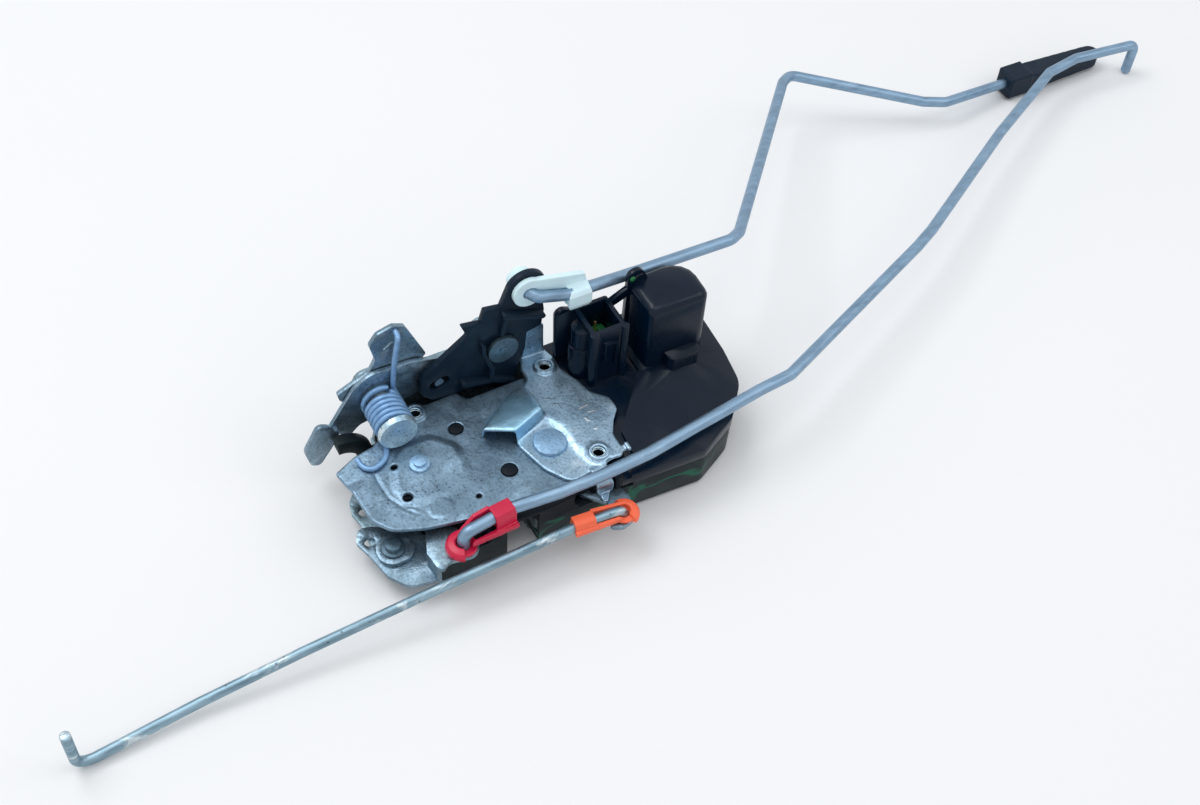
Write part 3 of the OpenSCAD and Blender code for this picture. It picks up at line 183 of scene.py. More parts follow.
def sheet_metal(
    name, light, dark, rough=(0.3, 0.5), metallic=0.85, pits=0.6, grime=0.5, strokes=(), painted_reflection=None
):
    """Zinc-plated sheet: cloudy tone, dark pits and specks, patches of painted highlight, fine
    orange-peel bump.

    Each stroke is (start, end, width, colour) in plan, and so is the soft painted reflection.
    """
    m = Nodes(name)
    m.set(Metallic=metallic)
    cloud = m.fit(m.noise(55, 5, 0.6), 0.32, 0.68)
    base = m.mix(cloud, dark, light)
    fine = m.noise(900, 3, 0.6)
    grain = m.fit(fine, 0.3, 0.7)
    base = m.mix(m.fit(fine, 0.5, 0.68, 0.0, 0.6), base, tuple(c * 0.5 for c in dark))
    shade = m.fit(m.noise(26, 3, 0.6), 0.45, 0.75, 0.0, 0.55)
    base = m.mix(shade, base, tuple(c * 0.7 for c in dark))
    patch = m.fit(m.noise(90, 4, 0.7, warp=1.2), 0.46, 0.6)
    speck = m.fit(m.cells(560), 0.14, 0.28, 1.0, 0.0)
    spots = m.math("MULTIPLY", m.math("MULTIPLY", speck, patch), pits)
    base = m.mix(spots, base, PIT_COLOR)
    stain = m.math("MULTIPLY", m.fit(m.noise(38, 4, 0.65, warp=0.8), 0.56, 0.74), grime)
    base = m.mix(stain, base, STAIN_COLOR)
    # Patches of the light tone brightened toward white: painted highlight standing in for gloss
    painted_highlight = m.fit(m.noise(62, 4, 0.65, warp=0.5), 0.58, 0.74, 0.0, 0.5)
    base = m.mix(painted_highlight, base, tuple(min(1.0, c * 1.9) for c in light))
    uneven = m.noise(170, 3, 0.5)
    roughness = m.fit(uneven, 0.3, 0.7, rough[0], rough[1])
    normal = m.bump(uneven, 0.0005, 0.5)
    normal = m.bump(grain, 0.00006, 0.7, normal)
    normal = m.bump(spots, 0.00025, -0.9, normal)
    if painted_reflection:
        # Soft pale patch laid over the base colour: painted reflection
        *place, tone = painted_reflection
        base = m.mix(m.math("MULTIPLY", m.stroke(*place, REFLECTION_BLUR), REFLECTION_STRENGTH), base, tone)
    for *place, tone in strokes:
        mask = m.stroke(*place)
        base = m.mix(m.math("MULTIPLY", mask, STROKE_STRENGTH), base, tone)
        normal = m.bump(mask, 0.0002, -0.6, normal)
    return m.finish(base, roughness, normal)


def wire_metal(
    name, light, dark, worn, rough=(0.28, 0.45), metallic=0.75, wear=0.4, stretch=(0.18, 1, 1)
):
    """Drawn rod: streaks along its length, worn bright patches and small nicks."""
    m = Nodes(name)
    m.set(Metallic=metallic)
    streak = m.fit(m.noise(420, 4, 0.6, stretch), 0.3, 0.7)
    base = m.mix(streak, dark, light)
    rub = m.math("MULTIPLY", m.fit(m.noise(110, 4, 0.7, (0.35, 1, 1), 0.6), 0.54, 0.66), wear)
    base = m.mix(rub, base, worn)
    nick = m.fit(m.cells(260), 0.06, 0.16, 1.0, 0.0)
    base = m.mix(m.math("MULTIPLY", nick, wear), base, NICK_COLOR)
    roughness = m.fit(streak, 0.0, 1.0, rough[0], rough[1])
    normal = m.bump(streak, 0.00005, 0.6)
    normal = m.bump(rub, 0.00008, 0.7, normal)
    return m.finish(base, roughness, normal)


def plastic(name, base, worn, rough=(0.3, 0.45), shine=0.5, dust=0.25, sheen=0.0):
    """Moulded plastic: fine grain, faint flow clouds, dusty and rubbed spots."""
    m = Nodes(name)
    m.set(Specular_IOR_Level=shine)
    if sheen:
        m.set(Subsurface_Weight=sheen, Subsurface_Scale=0.001)
    cloud = m.fit(m.noise(70, 4, 0.6), 0.35, 0.7)
    color = m.mix(m.math("MULTIPLY", cloud, 0.5), base, tuple(c * 1.35 for c in base))
    dusty = m.math("MULTIPLY", m.fit(m.noise(230, 5, 0.7, warp=0.7), 0.55, 0.75), dust)
    color = m.mix(dusty, color, worn)
    roughness = m.fit(m.noise(120, 3, 0.5), 0.3, 0.7, rough[0], rough[1])
    normal = m.bump(m.noise(1400, 2, 0.5), 0.00003, 0.6)
    normal = m.bump(m.noise(60, 2, 0.5), 0.0006, 0.25, normal)
    return m.finish(color, roughness, normal)


BRIGHT, SOOT = (0.93, 0.93, 0.93), (0.071, 0.085, 0.099)
SCRATCHES = (
    ((39.6, -0.4), (43.4, 0.1), 0.35, BRIGHT), ((41.8, -3.1), (44.6, -3.8), 0.3, BRIGHT),
    ((39.3, -5.3), (39.8, -7), 0.4, BRIGHT), ((39.8, -7), (40.4, -7.1), 0.35, BRIGHT),
    ((40.2, -11.4), (40.9, -11.8), 0.5, BRIGHT), ((31, 6.4), (36.2, 4.4), 0.14, SOOT),
    ((33.4, 5.6), (33.9, 2.6), 0.12, SOOT), ((29.2, 10.6), (33.8, 7.6), 0.1, SOOT),
)
# Pale blue patch over the bracket's hood: painted reflection of the bright surroundings
HOOD_PAINTED_REFLECTION = ((7, 3.5), (20, 11.5), 17, (0.4, 0.74, 0.97))

STEEL = sheet_metal(
    "plate_steel", (0.275, 0.408, 0.53), (0.137, 0.213, 0.284), (0.3, 0.46), 0.82, pits=0.75
)
STEEL_DARK = sheet_metal(
    "wall_steel", (0.312, 0.454, 0.525), (0.17, 0.248, 0.298), (0.32, 0.48), 0.8, grime=0.7
)
BRACKET = sheet_metal(
    "bracket_steel", (0.5, 0.7, 0.87), (0.266, 0.4, 0.52), (0.26, 0.42),
    pits=0.5, strokes=SCRATCHES, painted_reflection=HOOD_PAINTED_REFLECTION,
)
LEVER = sheet_metal(
    "lever_steel", (0.35, 0.48, 0.58), (0.155, 0.235, 0.3), (0.26, 0.42), 0.82,
    pits=0.4, grime=0.45,
)
STUD = sheet_metal(
    "worn_stud_steel", (0.824, 0.93, 0.93), (0.398, 0.596, 0.753), (0.24, 0.38), 0.75,
    pits=0.8, grime=0.35,
)
RIVET = sheet_metal(
    "rivet_steel", (0.383, 0.596, 0.824), (0.241, 0.412, 0.596), (0.36, 0.5), 0.6,
    pits=0.3, grime=0.2,
)
BOLT = sheet_metal(
    "hardened_steel", (0.284, 0.341, 0.398), (0.142, 0.17, 0.199), (0.3, 0.45), pits=0.4
)
POST = sheet_metal(
    "post_steel", (0.14, 0.235, 0.31), (0.07, 0.12, 0.16), (0.35, 0.5), 0.6, pits=0.5
)
ROD = wire_metal(
    "outer_rod_steel", (0.284, 0.426, 0.575), (0.185, 0.284, 0.391), (0.511, 0.682, 0.809),
    (0.32, 0.48), wear=0.12,
)
ROD_WORN = wire_metal(
    "inner_rod_steel", (0.312, 0.454, 0.54), (0.142, 0.227, 0.284), (0.88, 0.93, 0.93), wear=0.7
)
COIL = wire_metal(
    "spring_steel", (0.27, 0.476, 0.753), (0.177, 0.334, 0.547), (0.426, 0.611, 0.852),
    (0.38, 0.5), 0.5, wear=0.1, stretch=(1, 1, 1),
)
BRASS = wire_metal(
    "terminal_brass", (0.88, 0.653, 0.284), (0.639, 0.469, 0.199), (0.93, 0.852, 0.426),
    (0.25, 0.35), 1.0, wear=0.2,
)
BLACK = plastic(
    "lever_plastic", (0.005, 0.0145, 0.029), (0.036, 0.065, 0.09), (0.34, 0.5), shine=0.16
)
CASE = plastic(
    "latch_case_plastic", (0.0043, 0.0078, 0.0128), (0.0199, 0.028, 0.034), (0.38, 0.55),
    shine=0.14,
)
NAVY = plastic(
    "actuator_plastic", (0.0009, 0.0071, 0.0192), (0.0085, 0.026, 0.045), (0.16, 0.28),
    shine=0.26, dust=0.16,
)
RED = plastic(
    "red_clip_plastic", (0.596, 0.0057, 0.05), (0.852, 0.071, 0.185), (0.26, 0.4),
    sheen=0.08, dust=0.2,
)
ORANGE = plastic(
    "orange_clip_plastic", (0.93, 0.142, 0.057), (0.93, 0.341, 0.199), (0.32, 0.48),
    sheen=0.08, dust=0.35,
)
WHITE = plastic(
    "white_clip_plastic", (0.667, 0.866, 0.93), (0.795, 0.93, 0.93), sheen=0.12, dust=0.2
)
GREEN = plastic("seal_rubber", (0.017, 0.185, 0.05), (0.043, 0.355, 0.114), (0.4, 0.6))
RUBBER = plastic("bumper_rubber", (0.017, 0.017, 0.0185), (0.043, 0.043, 0.043), (0.6, 0.8))


def tray_plastic():
    """The lower tray: warmer black with a faint green rub on its outer wall."""
    m = Nodes("tray_plastic")
    m.set(Specular_IOR_Level=0.16)
    cloud = m.fit(m.noise(60, 4, 0.6), 0.35, 0.7)
    color = m.mix(cloud, (0.009, 0.015, 0.018), (0.02, 0.03, 0.033))
    rub = m.noise(46, 1.5, 0.4, (1, 0.6, 2.2), 1.4)
    band = m.math("MULTIPLY", m.fit(rub, 0.47, 0.5), m.fit(rub, 0.53, 0.57, 1.0, 0.0))
    patch = m.fit(m.noise(24, 1, 0.4), 0.49, 0.56)
    where = m.add("ShaderNodeSeparateXYZ")
    m.link(m.place, where.inputs["Vector"])
    z = where.outputs["Z"]
    height = m.math("MULTIPLY", m.fit(z, 0.003, 0.005), m.fit(z, 0.012, 0.0145, 1.0, 0.0))
    front = m.fit(where.outputs["Y"], -0.024, -0.012, 1.0, 0.0)
    edge = m.math("MULTIPLY", m.math("MULTIPLY", band, patch), m.math("MULTIPLY", front, height))
    color = m.mix(edge, color, (0.01, 0.11, 0.065))
    roughness = m.fit(m.noise(140, 3, 0.5), 0.3, 0.7, 0.34, 0.5)
    normal = m.bump(m.noise(1300, 2, 0.5), 0.00003, 0.6)
    return m.finish(color, roughness, normal)


TRAY = tray_plastic()


# ---------------------------------------------------------------- geometry helpers
WELD_DISTANCE = 2e-6
EDGE_ANGLE, TUBE_ANGLE, LATHE_ANGLE = 33.0, 40.0, 50.0
SMOOTHING = 0.5
BEND_STEPS, BEND_ARC = 10, 1.2
CORNER_STEPS = 6
ROLLED_EDGE = 0.12


def new_object(name, data):
    obj = bpy.data.objects.new(name, data)
    bpy.context.scene.collection.objects.link(obj)
    return obj


def smooth(mesh, angle):
    """Smooth shading up to angle degrees between faces."""
    mesh.polygons.foreach_set("use_smooth", [True] * len(mesh.polygons))
    mesh.set_sharp_from_angle(angle=math.radians(angle))


def paint(obj, mat):
    obj.data.materials.clear()
    obj.data.materials.append(mat)


def corner_arc(p, a, b, r, n):
    """The arc that rounds the corner at p between a and b, as in part.scad."""
    u, v = (a - p).normalized(), (b - p).normalized()
    half = math.acos(max(-1.0, min(1.0, u.dot(v)))) / 2
    t = r / math.tan(half)
    c = p + (u + v).normalized() * (r / math.sin(half))
    e1 = (p + u * t - c).normalized()
    w = p + v * t - c
    e2 = (w - e1 * w.dot(e1)).normalized()
    span = math.pi - 2 * half
    angles = [span * k / n for k in range(n + 1)]
    return [c + (e1 * math.cos(q) + e2 * math.sin(q)) * r for q in angles]


def bent(points, r, first, last):
    """Centre line through points; r rounds its corners, first and last the outermost two."""
    pts = [Vector(p) for p in points]
    out = [pts[0]]
    for i in range(1, len(pts) - 1):
        radius = first if i == 1 else last if i == len(pts) - 2 else r
        turn_angle = (pts[i] - pts[i - 1]).angle(pts[i + 1] - pts[i])
        steps = max(2, round(BEND_STEPS * turn_angle / BEND_ARC))
        out += corner_arc(pts[i], pts[i - 1], pts[i + 1], radius, steps)
    return out + [pts[-1]]


def skinned(name, bm, rings, capped, mat, angle):
    """Object of the faces between successive rings of points, with its ends closed or not."""
    for lower, upper in zip(rings, rings[1:]):
        n = len(lower)
        for k in range(n):
            bm.faces.new((lower[k], lower[(k + 1) % n], upper[(k + 1) % n], upper[k]))
    if capped:
        bm.faces.new(rings[0][::-1])
        bm.faces.new(rings[-1])
    bmesh.ops.recalc_face_normals(bm, faces=bm.faces[:])
    mesh = bpy.data.meshes.new(name)
    bm.to_mesh(mesh)
    bm.free()
    smooth(mesh, angle)
    obj = new_object(name, mesh)
    paint(obj, mat)
    return obj


def tube(name, points, radius, mat, sides=20, round_end=0.5):
    """Round wire along points in millimetres, its ends slightly rounded."""
    pts = [Vector(p) for p in points]
    radii = [radius] * len(pts)
    if round_end:
        for end in (0, -1):
            inner = pts[1] if end == 0 else pts[-2]
            tip = pts[end]
            back = (inner - tip).normalized()
            # Distance from the tip and radius there
            profile = [
                (0.0, radius - round_end), (round_end * 0.3, radius - round_end * 0.29),
                (round_end, radius),
            ]
            steps = [tip + back * d for d, _ in profile]
            sizes = [r for _, r in profile]
            if end == 0:
                pts, radii = steps + pts[1:], sizes + radii[1:]
            else:
                pts, radii = pts[:-1] + steps[::-1], radii[:-1] + sizes[::-1]
    bm = bmesh.new()
    last = len(pts) - 1
    tangents = [
        (pts[min(i + 1, last)] - pts[max(i - 1, 0)]).normalized() for i in range(len(pts))
    ]
    side = tangents[0].orthogonal().normalized()
    rings = []
    for p, t, r in zip(pts, tangents, radii):
        side = (side - t * side.dot(t)).normalized()
        up = t.cross(side)
        rings.append([
            bm.verts.new((p + (side * math.cos(a) + up * math.sin(a)) * r) * MM)
            for a in (2 * math.pi * k / sides for k in range(sides))
        ])
    return skinned(name, bm, rings, True, mat, TUBE_ANGLE)


def lathe(name, x, y, profile, mat, sides=56, closed=True):
    """Solid of revolution about a vertical axis, from (radius, height) in millimetres."""
    bm = bmesh.new()
    rings = []
    for r, z in profile:
        rings.append([
            bm.verts.new(((x + r * math.cos(a)) * MM, (y + r * math.sin(a)) * MM, z * MM))
            for a in (2 * math.pi * k / sides for k in range(sides))
        ])
    return skinned(name, bm, rings + rings[:1] if closed else rings, not closed, mat, LATHE_ANGLE)


def rounded(points):
    """Closed outline whose third numbers are corner radii, in millimetres."""
    out = []
    for i, (x, y, r) in enumerate(points):
        p = Vector((x, y, 0))
        a = Vector((*points[i - 1][:2], 0))
        b = Vector((*points[(i + 1) % len(points)][:2], 0))
        out += [p] if r == 0 else corner_arc(p, a, b, r, CORNER_STEPS)
    return [(v.x, v.y) for v in out]


def ring(x, y, r, n=40):
    """Circle of n points in plan."""
    turns = [2 * math.pi * k / n for k in range(n)]
    return [(x + r * math.cos(a), y + r * math.sin(a)) for a in turns]


def plate(name, outline, holes, z0, z1):
    """Flat sheet with holes and slightly rolled edges, from outlines in millimetres."""
    curve = bpy.data.curves.new(name, "CURVE")
    curve.dimensions = "2D"
    curve.fill_mode = "BOTH"
    curve.extrude = ((z1 - z0) / 2 - ROLLED_EDGE) * MM
    curve.bevel_depth = ROLLED_EDGE * MM
    curve.bevel_resolution = 2
    curve.offset = -ROLLED_EDGE * MM
    for loop in [outline] + holes:
        spline = curve.splines.new("POLY")
        spline.points.add(len(loop) - 1)
        for q, (x, y) in zip(spline.points, loop):
            q.co = (x * MM, y * MM, 0, 1)
        spline.use_cyclic_u = True
    obj = new_object(name, curve)
    mesh = evaluated_mesh(obj)
    bpy.data.objects.remove(obj)
    mesh.name = name
    mesh.transform(Matrix.Translation((0, 0, (z0 + z1) / 2 * MM)))
    return new_object(name, mesh)


def evaluated_mesh(obj):
    """A new mesh of the object as its modifiers, or its curve settings, make it."""
    bpy.context.view_layer.update()
    graph = bpy.context.evaluated_depsgraph_get()
    return bpy.data.meshes.new_from_object(obj.evaluated_get(graph))


def modifier(obj, kind, **props):
    m = obj.modifiers.new(kind.lower(), kind)
    for k, v in props.items():
        setattr(m, k, v)
    return m


def apply_modifiers(obj):
    mesh = evaluated_mesh(obj)
    obj.modifiers.clear()
    old = obj.data
    obj.data = mesh
    bpy.data.meshes.remove(old)


def remeshed(obj, voxel, passes):
    """Turns a solid into an even mesh whose edges are rolled over, like pressed or moulded work."""
    modifier(obj, "WELD", merge_threshold=WELD_DISTANCE)
    modifier(obj, "REMESH", mode="VOXEL", voxel_size=voxel * MM, use_smooth_shade=True)
    modifier(obj, "SMOOTH", factor=SMOOTHING, iterations=passes)


def bevelled(obj, width):
    """Rolls the sharp edges of a CAD node's object a little, its mesh kept."""
    modifier(obj, "WELD", merge_threshold=WELD_DISTANCE)
    modifier(
        obj, "BEVEL", width=width * MM, segments=2, limit_method="ANGLE",
        angle_limit=math.radians(EDGE_ANGLE), harden_normals=True, miter_outer="MITER_SHARP",
        use_clamp_overlap=True,
    )


def vertices(mesh):
    """The mesh's points in millimetres, one row each."""
    co = np.empty(len(mesh.vertices) * 3)
    mesh.vertices.foreach_get("co", co)
    return co.reshape(-1, 3) / MM


def set_vertices(mesh, co):
    mesh.vertices.foreach_set("co", (co * MM).ravel())
    mesh.update()


def inside_distance(co, loop):
    """Distance of each point to a closed outline in plan, positive inside."""
    p = co[:, :2]
    loop = np.array(loop)
    nxt = np.roll(loop, -1, axis=0)
    best = np.full(len(p), 1e9)
    inside = np.zeros(len(p), bool)
    for a, b in zip(loop, nxt):
        ab = b - a
        t = np.clip(((p - a) @ ab) / (ab @ ab), 0, 1)
        best = np.minimum(best, np.linalg.norm(p - a - t[:, None] * ab, axis=1))
        if a[1] != b[1]:
            crosses = (a[1] > p[:, 1]) != (b[1] > p[:, 1])
            inside ^= crosses & (p[:, 0] < (b[0] - a[0]) * (p[:, 1] - a[1]) / (b[1] - a[1]) + a[0])
    return np.where(inside, best, -best)


def ease(x, lo, hi):
    """0 at lo, 1 at hi, and smooth between them."""
    t = np.clip((x - lo) / (hi - lo), 0, 1)
    return t * t * (3 - 2 * t)


def done(obj, body, replaced=()):
    """Sets the piece's body, and hides the CAD nodes that it stands for."""
    if replaced:
        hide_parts(*replaced)
    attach(obj, body)
    return obj


# ---------------------------------------------------------------- back plate
PLATE_OUTLINE = rounded([
    (-53, 14.5, 1), (-51.4, 6, 4), (-50.6, -4, 6), (-49.8, -12, 6), (-45, -19, 8),
    (-34, -23.2, 14), (-18, -26.4, 20), (8, -28.6, 14), (21, -27.6, 6), (32.8, -28, 1.5),
    (32.8, -18.4, 1.5), (40, -18.4, 3), (40, 20.4, 3), (33.8, 20.4, 1), (33.8, 29, 1),
    (31, 29, 1), (29.4, 24.6, 2), (4.5, 24.4, 2), (2, 29.2, 2), (-10, 28.6, 8),
    (-20.5, 30.1, 2), (-36.3, 18.7, 3), (-44, 18, 6),
])
DOME_OUTLINE = rounded([
    (-31, 10, 2), (-26, 14.6, 4), (-15.5, 14, 6), (-8, 6, 7), (-8.6, -9, 7),
    (-20, -14.5, 5), (-35, -12.5, 6), (-37.5, -3, 5), (-35, 5, 4),
])
BEAD_OUTLINE = rounded([
    (-40.5, 9, 2), (-41, 3.5, 6), (-40.6, -5, 8), (-37, -12.6, 5), (-20, -12, 0), (-20, 9, 0),
])
PLATE_HOLES = (
    (-16, 26.3, 2.55, 40), (22.5, -9.5, 5.02, 40), (-24.5, 3, 3.55, 40), (-5.3, 13.1, 2.75, 40),
    (4.2, -12.9, 3.05, 40), (-33.3, 6.4, 1.3, 24), (-34.2, -8.2, 1.9, 28), (-10.9, -18.6, 1.1, 20),
    (28, -24.5, 2.55, 40),
)
PLATE_LOW, PLATE_TOP = 22.2, 24
PLATE_LIMIT = 25.0
PLATE_VOXEL, PLATE_PASSES = 0.33, 3
DOME_RISE = 0.96
FOLD_DEPTH, BEAD_DEPTH = 1.35, 0.34
# Pressed forms as (x, y, reach in x, reach in y, depth or height)
DISHES = ((-33, -6, 5.5, 9, 0.34), (-20, -7, 9, 4, 0.26))
HUB = (-24.5, 3, 4.6, 4.6, 0.12)
DENTS = (
    (10.4, -18.8, 0.9, 0.9, 0.09), (12.8, -18.2, 0.7, 0.7, 0.07), (9.2, -20.4, 0.7, 0.7, 0.07),
    (15.4, -22.4, 1.1, 1.1, 0.08), (-43.6, -10.6, 1.4, 1.4, 0.12), (-30.2, -20, 1.2, 1.2, 0.08),
)


def mound(x, y, px, py, rx, ry, height):
    """Soft round rise at (px, py)."""
    return height * np.exp(-(((x - px) / rx) ** 2 + ((y - py) / ry) ** 2))


def back_plate():
    holes = [ring(*hole) for hole in PLATE_HOLES]
    obj = plate("back_plate_sheet", PLATE_OUTLINE, holes, PLATE_LOW, PLATE_TOP)
    remeshed(obj, PLATE_VOXEL, PLATE_PASSES)
    apply_modifiers(obj)
    co = vertices(obj.data)
    x, y = co[:, 0], co[:, 1]
    dome = ease(inside_distance(co, DOME_OUTLINE), -1.5, 2.6) * DOME_RISE
    dish = sum(mound(x, y, *d) for d in DISHES) * ease(dome, 0.2, 0.9)
    # A round knee is pressed up at the front edge
    knee = np.hypot(x + 25.5, (y + 17.6) * 1.15)
    front = ease(knee, 5.6, 3.8) * 0.3 * ease(y, -24, -21)
    # The left corner is folded down along a straight crease
    crease = (x + 42.4) * -0.951 + (y - 6.7) * 0.307
    fold = np.clip(crease / 9, 0, 1.2) * FOLD_DEPTH * ease(y, 2.5, 7.5)
    # A bead runs down beside the dome, with a torn edge at its lower end
    bead = inside_distance(co, BEAD_OUTLINE)
    groove = np.exp(-(bead / 0.75) ** 2) * BEAD_DEPTH * ease(y, 9, 5) * ease(x, -33.5, -36.5)
    tear_u = (x + 35.6) * 0.65 - (y + 13.6) * 0.76
    tear_v = (x + 35.6) * 0.76 + (y + 13.6) * 0.65
    tear = np.sin(tear_v * 2.6) * 0.17 * np.exp(-(tear_u / 3.2) ** 2 - (tear_v / 2.0) ** 2)
    dents = sum(mound(x, y, *d) for d in DENTS)
    co[:, 2] += dome + mound(x, y, *HUB) - dish + front * (1 - dome) - fold - groove + tear - dents
    co[:, 2] = np.minimum(co[:, 2], PLATE_LIMIT)
    set_vertices(obj.data, co)
    paint(obj, STEEL)
    return done(obj, "latch", ("back_plate",))


COLLAR_R, CORE_R = 4.3, 2.5
THREAD_R, THREAD_PITCH, THREAD_RIDGE = 2.42, 1.0, 0.3
# Side, x, y, the heights of foot and rim, and the finish
COLLARS = (
    ("left", -16, 26.3, 24.0, 25.2, STEEL),
    ("rear", 37.3, 23.9, 26.6, 27.8, BRACKET),
    ("front", 36.3, -21.9, 26.6, 27.8, BRACKET),
)


def collar(name, x, y, z0, z1, mat):
    """Drawn threaded collar: rolled rim round a bore."""
    profile = [
        (COLLAR_R + 0.5, z0 - 0.05), (COLLAR_R + 0.1, z0 + 0.12), (COLLAR_R - 0.25, z1 - 0.55),
        (COLLAR_R - 0.6, z1 - 0.15), (COLLAR_R - 1.05, z1), (CORE_R + 0.45, z1 - 0.02),
        (CORE_R + 0.12, z1 - 0.22), (CORE_R, z1 - 0.6), (CORE_R, z0 - 1.4), (COLLAR_R, z0 - 0.5),
    ]
    return done(lathe(name, x, y, profile, mat), "latch")


def thread(name, x, y, z0, z1):
    """Helical ridge inside a threaded collar."""
    turns = (z1 - z0) / THREAD_PITCH
    n = int(turns * 28)
    points = []
    for k in range(n + 1):
        a = 2 * math.pi * turns * k / n
        points.append((
            x + THREAD_R * math.cos(a), y + THREAD_R * math.sin(a), z0 + (z1 - z0) * k / n
        ))
    return done(tube(name, points, THREAD_RIDGE, STUD, 8, 0), "latch")


back_plate()
for side, x, y, z0, z1, mat in COLLARS:
    collar("collar_" + side, x, y, z0, z1, mat)
    thread("thread_" + side, x, y, z0 - 1.2, z1 - 0.5)


# ---------------------------------------------------------------- rods and springs
RED_PIN = (-23.8, -32.8)
OUTSIDE = [
    (*RED_PIN, 14.6), (*RED_PIN, 26), (-5, -31, 27.6), (14, -33.8, 29.6), (30, -34, 30),
    (52, -32.5, 30), (105, -24.5, 30), (120, -22.5, 29), (210, 17.5, 24), (222, 23.5, 23.5),
    (291, 64.5, 20), (342, 91.5, 17.5), (361, 95, 17), (396, 92, 16.5), (396, 92, 0.4),
]
LOCK = [
    (31.2, 36, 67.9), (31.2, 24.2, 67.9), (45, 24.8, 62.5), (58, 26, 60.6), (81.5, 32, 52.5),
    (123.7, 32.8, 50.7), (130.6, 37.3, 48), (211, 126.5, 30), (218, 131, 28.5), (278, 104, 12.5),
    (289, 100.5, 11), (330, 104, 6.6), (338, 104, 6.4),
]
INSIDE = [
    (35.3, -44.4, 12.1), (35.3, -44.4, 19.4), (18, -43, 18.6), (-37, -42.6, 14.4),
    (-90, -42, 8.6), (-127, -42.5, 4.6), (-164, -45.3, 2.4), (-170, -45, 2.3), (-170, -45, 22.3),
]
ROD_R, THIN_ROD_R, ROD_SIDES = 2.37, 1.88, 24
# Piece, route, bend radii (all, first, last), radius, finish, body and the nodes it stands for
RODS = (
    ("outside_handle_rod", OUTSIDE, (7, 4, 4), ROD_R, ROD,
     "outside_linkage", ("outside_rod", "outside_rod_inner")),
    ("lock_rod_wire", LOCK, (7, 4, 20), ROD_R, ROD, "lock_linkage", ("lock_rod",)),
    ("inside_handle_rod", INSIDE, (7, 3, 4), THIN_ROD_R, ROD_WORN,
     "inside_linkage", ("inside_rod",)),
)
for name, route, bends, radius, mat, body, nodes in RODS:
    done(tube(name, bent(route, *bends), radius, mat, ROD_SIDES), body, nodes)

# The release spring: its coil lies round the stud, whose x and z are STUD_AT
STUD_AT = (-27.8, 32.9)
COIL_R, WIRE_R = 6.6, 1.05
COIL_SPAN, COIL_STEPS = 22.5 * 85, 240
LAST_TURN_SPAN, LAST_TURN_STEPS = 24.6 * 13, 40
PITCH = 2 * WIRE_R + 0.12
ARM_Y = 32.6 - WIRE_R - 0.6
COIL_Y = ARM_Y - PITCH


def coil_point(deg, y):
    """Point of the coil at an angle about the stud."""
    a = math.radians(deg)
    return (STUD_AT[0] + COIL_R * math.cos(a), y, STUD_AT[1] + COIL_R * math.sin(a))


def catmull(points, steps=6):
    """Smooth line through all the points."""
    p = [Vector(q) for q in points]
    p = [p[0] * 2 - p[1]] + p + [p[-1] * 2 - p[-2]]
    out = []
    for i in range(1, len(p) - 2):
        for k in range(steps):
            t = k / steps
            out.append(0.5 * (
                p[i] * 2 + (p[i + 1] - p[i - 1]) * t
                + (p[i - 1] * 2 - p[i] * 5 + p[i + 1] * 4 - p[i + 2]) * t * t
                + (p[i] * 3 - p[i - 1] - p[i + 1] * 3 + p[i + 2]) * t ** 3
            ))
    return out + [p[-2]]


def release_spring():
    coil = [
        coil_point(
            60 - COIL_SPAN * k / COIL_STEPS, COIL_Y - PITCH * COIL_SPAN / 360 * k / COIL_STEPS
        )
        for k in range(COIL_STEPS + 1)
    ]
    coil_end = COIL_Y - PITCH * COIL_SPAN / 360
    z = PLATE_TOP + WIRE_R + 0.2
    foot = catmull([
        coil[-1], (-28.4, coil_end, z + 1.3), (-31.6, coil_end - 0.6, z + 0.1), (-32.6, 14.6, z),
        (-34.4, 11.4, z), (-37.2, 9.2, z), (-40.4, 8.3, z), (-42.9, 9.7, z),
        (-44, 12.4, z), (-44.2, 15, z),
    ])
    piece = tube("release_spring_coil", coil + foot[1:], WIRE_R, COIL, 16, 0.25)
    done(piece, "latch", ("release_spring",))


def release_spring_arm():
    last_turn = [
        coil_point(-300 + LAST_TURN_SPAN * k / LAST_TURN_STEPS, ARM_Y)
        for k in range(LAST_TURN_STEPS + 1)
    ]
    arm = catmull([
        last_turn[-1], (-22.2, ARM_Y, 38.2), (-21.2, ARM_Y, 50), (-19.4, ARM_Y, 61.2),
        (-18.9, ARM_Y + 1, 62.8), (-18.7, ARM_Y + 2.6, 63.2), (-18.7, 34.4, 63.2),
        (-18.7, 37.8, 63.2),
    ])
    piece = tube("release_spring_lever_arm", last_turn + arm[1:], WIRE_R, COIL, 16, 0.25)
    done(piece, "release_lever_body", ("release_spring_arm",))


release_spring()
release_spring_arm()


